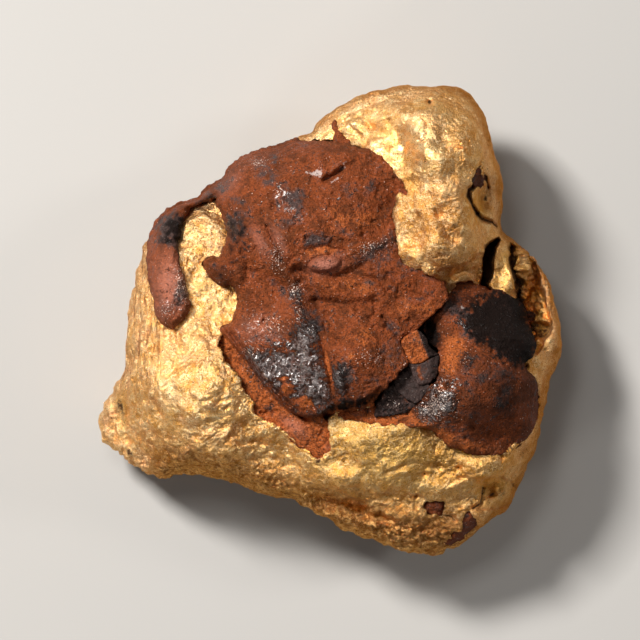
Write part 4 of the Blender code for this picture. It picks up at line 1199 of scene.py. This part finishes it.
def gold_finish():
    look = Look("Native gold", Specular_Tint=(1.0, 0.72, 0.42, 1))
    cloud = look.noise(0.45, 5, 0.65)
    lumps = look.noise(1.2, 3, 0.55)
    grain = look.noise(3.1, 4, 0.68, 0.3)
    speckle = look.noise(5.5, 2, 0.6)
    glitter = look.noise(7.0, 1, 0.5)
    dots = look.steps(look.noise(3.4, 1, 0.5), 0.70, 0.76)
    upright = look.vector("MULTIPLY", {0: look.place, 1: (1.0, 0.16, 0.3)})
    streaks = look.noise(2.6, 3, 0.6, 0.2, upright)
    streaked = look.mask("streaked")
    smooth = look.mask("polish")
    texture = 1 - smooth * 0.7  # how much of the skin's texture is left
    rough = look.mask("rough")
    look.colour = look.mix(look.steps(cloud, 0.40, 0.60), RICH_GOLD, WARM_GOLD)
    look.paint(look.mask("tan") * 0.6, TAN_GOLD)
    look.paint(look.mask("pale") * 0.6, GREEN_GOLD)
    # Painted shade, where the gold turns from the light.
    look.paint(look.mask("painted_shade") * 0.92, SHADE_GOLD)
    # Painted highlights: pale glints on the high grain and on polished places, fewer where shade is
    # painted.
    light = look.steps(lumps * 0.3 + grain * 0.3 + glitter * 0.4, 0.47, 0.60) + smooth * 0.2
    light = light * (0.72 - look.mask("painted_shade") * 0.5 - look.mask("pale") * 0.2)
    look.paint(light, HIGHLIGHT_GOLD)
    knocks = look.noise(1.25, 5, 0.72, 0.9)
    hammered = look.mask("hammered")
    # On the hammered low side the raised knocks get a painted highlight and the dips between them painted
    # shade.
    raised = look.steps(knocks * 0.7 + grain * 0.3, 0.45, 0.60)
    look.paint((1 - raised) * hammered * 0.45, KNOCK_SHADE_GOLD)
    look.paint(raised * hammered * 0.55, KNOCK_HIGHLIGHT_GOLD)
    flecks = (1 - look.steps(speckle * 0.6 + grain * 0.4, 0.39, 0.50)) * texture
    look.paint(flecks * 0.5, FLECK_BROWN)
    look.paint((1 - look.steps(streaks, 0.36, 0.48)) * streaked * 0.8, FLECK_BROWN)
    # Amber tint with painted shade.
    look.paint(look.mask("amber_and_shade") * 0.7, AMBER_GOLD)
    look.paint(dots * texture * 0.7, PIT_BROWN)
    # Rust stain together with painted shade; both also dull the metal.
    rust_and_shade = look.steps(look.mask("stain_and_shade") + (grain - 0.5) * 0.9, 0.45, 0.8)
    look.paint(rust_and_shade, RUST_AND_SHADE)
    look.feed("Base Color", look.colour)
    look.feed("Metallic", 1 - rust_and_shade * 0.85)
    look.feed("Roughness", 0.355 + (glitter - 0.5) * 0.4 - smooth * 0.04 + rust_and_shade * 0.3)
    look.bump(lumps * (texture + rough * 1.5), 0.18)
    look.bump(knocks * hammered, 0.3)
    look.bump(grain * (texture + rough * 0.4), 0.20)
    look.bump(speckle * texture, 0.06)
    look.bump(streaks * streaked, 0.45)
    look.feed("Normal", look.normal)
    return look.material


BROWN = (0.124, 0.032, 0.010, 1)
RED_BROWN = (0.280, 0.062, 0.016, 1)
ORANGE_BROWN = (0.47, 0.120, 0.029, 1)
SLATE = (0.052, 0.043, 0.043, 1)
STEEL = (0.31, 0.275, 0.27, 1)
PINK_AND_SHEEN = (0.42, 0.165, 0.115, 1)
PALE_MINERAL = (0.50, 0.40, 0.37, 1)
DEEP_SHADE = (0.008, 0.004, 0.003, 1)
GLINT_SPECK = (0.85, 0.66, 0.56, 1)
FLOOR_GREY = (0.42, 0.41, 0.40, 1)
PALE_FLOOR_GREY = (0.45, 0.44, 0.43, 1)


def stone_finish(name, lean_dark=0.0, smooth=0.0):
    look = Look(name, Specular_IOR_Level=0.09, Coat_Roughness=0.16)
    cloud = look.noise(0.30, 6, 0.7, 0.6)
    lumps = look.noise(0.9, 5, 0.7, 0.3)
    grit = look.noise(3.2, 2, 0.7)
    speckle = look.noise(6.0, 1, 0.6)
    glint = look.mask("glint")
    # Painted glints: tiny pale specks, more where the glint mask is strong and none where shade is
    # painted.
    glint_specks = look.steps(look.noise(6.0, 1, 0.5) + glint * 0.18, 0.73, 0.79)
    look.colour = look.mix(look.steps(cloud * 0.5 + lumps * 0.5, 0.42, 0.57), BROWN, RED_BROWN)
    bright = look.mask("bright") * 0.7 + (lumps - 0.5) * 2.4 + (grit - 0.5) * 1.1
    look.paint(look.steps(bright, 0.10, 0.85), ORANGE_BROWN)
    dark = look.mask("dark") + lean_dark + (cloud - 0.5) * 3.0
    dark = look.steps(dark + (lumps - 0.5) * 2.6 + (grit - 0.5) * 0.8, 0.05, 0.95)
    look.paint(dark * 0.9, SLATE)
    grain = look.steps(speckle * 0.5 + grit * 0.5, 0.38, 0.56)
    look.paint((1 - grain) * 0.5, DEEP_SHADE)
    # Pink, partly painted sheen.
    look.paint(look.mask("pink") * 0.8, PINK_AND_SHEEN)
    white = look.steps(look.mask("white") + (grit - 0.5) * 1.8, 0.30, 0.80)
    look.paint(white * 0.85, PALE_MINERAL)
    shade = look.steps(look.mask("shade") * (0.2 + grit * 1.6), 0.10, 0.90)
    look.paint(shade, DEEP_SHADE)
    steel = look.steps(look.mask("steel") + (grit - 0.5) * 1.8 + (lumps - 0.5) * 1.2, 0.15, 1.0)
    glossy = steel * look.steps(lumps * 0.75 + grit * 0.25, 0.42, 0.60)
    look.paint(steel * 0.6, SLATE)
    look.paint(glossy * 0.9, STEEL)
    look.paint(glint_specks * (1 - shade) * 0.85, GLINT_SPECK)
    look.feed("Base Color", look.colour)
    look.feed("Metallic", glossy * 0.7)
    rough = 0.66 - dark * 0.2 - steel * 0.28 + (speckle - 0.5) * 0.2 + shade * 0.3
    look.feed("Roughness", rough)
    coat = look.steps(cloud, 0.5, 0.65) * 0.08 + glint * 0.3 + steel * 0.8
    look.feed("Coat Weight", coat * (1 - shade))
    uneven = 1 - smooth * 0.85
    look.bump(lumps * (1 + steel * 3.0), 0.16 * uneven)
    look.bump(grit * (1 + steel * 0.6), 0.22 * uneven)
    look.bump(speckle * (1 + glint * 2), 0.10 * (1 - smooth * 0.5))
    look.feed("Normal", look.normal)
    return look.material


# ------------ room, lights and camera

VIEW_WIDTH = 69.1  # what the camera takes in at VIEW_LEVEL
VIEW_CENTRE = (-0.97, 0.05)
VIEW_LEVEL = 16.0
SENSOR = 36.0  # width in millimetres
CAMERA_HEIGHT = 1.2  # in metres, as are all lengths from here on
NEAREST_VIEW = 0.01
FLOOR_SIZE = 3.0
DAYLIGHT = (1.0, 0.97, 0.92)
WARM_LIGHT = (1.0, 0.95, 0.88)
SKY = (0.9, 0.93, 1.0, 1)
SKY_STRENGTH = 0.05
# Each light: name, place, sides, power, colour.
LIGHTS = [
    ("key_light", (-0.27, 0.26, 0.46), (0.11, 0.11), 5.5, DAYLIGHT),
    ("top_light", (-0.08, 0.16, 0.56), (0.12, 0.12), 0.6, DAYLIGHT),
    ("right_light", (0.42, 0.10, 0.34), (0.08, 0.10), 0.5, WARM_LIGHT),
    ("low_light", (-0.30, -0.30, 0.26), (0.08, 0.08), 0.4, WARM_LIGHT),
]


def make_floor():
    bpy.ops.mesh.primitive_plane_add(size=FLOOR_SIZE)
    floor = bpy.context.object
    floor.name = "floor"
    look = Look("Pale floor", Roughness=0.7)
    look.feed("Base Color", look.mix(look.noise(0.02, 2), FLOOR_GREY, PALE_FLOOR_GREY))
    floor.data.materials.append(look.material)


def add_softbox(name, place, size, power, colour):
    light = bpy.data.lights.new(name, "AREA")
    light.shape = "RECTANGLE"
    light.size, light.size_y = size
    light.energy = power
    light.color = colour
    lamp = bpy.data.objects.new(name, light)
    lamp.location = place
    target = Vector((0, 0, VIEW_LEVEL * MM))
    lamp.rotation_euler = (target - lamp.location).to_track_quat("-Z", "Y").to_euler()
    bpy.context.scene.collection.objects.link(lamp)


def make_studio():
    for light in LIGHTS:
        add_softbox(*light)
    world = bpy.data.worlds.new("studio")
    world.use_nodes = True
    background = world.node_tree.nodes["Background"]
    background.inputs["Color"].default_value = SKY
    background.inputs["Strength"].default_value = SKY_STRENGTH
    bpy.context.scene.world = world


def make_camera():
    data = bpy.data.cameras.new("camera")
    data.sensor_width = SENSOR
    data.lens = SENSOR * (CAMERA_HEIGHT - VIEW_LEVEL * MM) / (VIEW_WIDTH * MM)
    data.clip_start = NEAREST_VIEW
    camera = bpy.data.objects.new("camera", data)
    camera.location = (VIEW_CENTRE[0] * MM, VIEW_CENTRE[1] * MM, CAMERA_HEIGHT)
    bpy.context.scene.collection.objects.link(camera)
    bpy.context.scene.camera = camera


# ------------ putting it together

RED, DARK = "ironstone_red", "ironstone_dark"

# Each chip in the crack: name, slot, outline, height, slope across and up the face, paint.
CHIPS = [
    ("chip_red", RED, CHIP_RED, 22.6, -0.15, 0.1, red_chip_paint),
    ("chip_grey", DARK, CHIP_GREY, 22.2, -0.05, 0.05, grey_chip_paint),
    ("chip_black", DARK, CHIP_BLACK, 21.8, 0.12, -0.15, black_chip_paint),
    ("chip_low", DARK, CHIP_LOW, 21.2, 0.1, 0.3, low_chip_paint),
]
CHIP_FLOOR = 17.0
# Each inclusion: name, slot, outline, how proud of the gold, how deep, tints.
INCLUSIONS = [
    ("spot", RED, SPOT, -0.2, 3.0, {"dark": 0.1, "bright": 0.1, "shade": 0.35}),
    ("edge_patch", DARK, EDGE_PATCH, 0.2, 4.0, {"shade": 0.25}),
    ("pocket_bit", RED, POCKET_BIT, 0.2, 3.0, {"shade": 0.45}),
    ("crack_fill", RED, CRACK_FILL, 0.35, 3.0, {"dark": 0.1, "bright": 0.2}),
]
INCLUSION_TAPER = 1.6


def fit(piece, node):
    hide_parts(node)
    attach(piece, "root")


def main():
    make_floor()
    make_studio()
    make_camera()
    fit(make_gold(gold_finish()), "gold")

    looks = {
        RED: stone_finish("Red ironstone"),
        DARK: stone_finish("Dark ironstone", lean_dark=0.25, smooth=0.4),
    }
    # Each stone: name, slot, outline, top, floor, spacing, growth, taper.
    stones = [
        ("main", RED, MAIN_STONE, main_stone_top, 8.0, 0.125, 0.08, 2.6),
        ("right_block", RED, RIGHT_BLOCK, right_block_top, 11.0, 0.11, 0.08, 0.3),
    ]
    for name, slot, outline, *level, paint in CHIPS:
        top = chip_top(middle_of(outline), *level, paint)
        stones.append((name, slot, outline, top, CHIP_FLOOR))
    for name, slot, outline, proud, depth, tints in INCLUSIONS:
        x, y = middle_of(outline)[:, None]
        floor = float(on_shoulder(x, y, face_relief(x, y))[0]) - depth
        top = inclusion_top(proud, tints)
        stones.append((name, slot, outline, top, floor, CHIP_SPACING, STONE_GROWTH, INCLUSION_TAPER))
    for name, slot, *form in stones:
        fit(make_stone(name + "_stone", looks[slot], *form), "ironstone_" + name)

    bpy.context.scene.view_settings.view_transform = "Standard"


main()
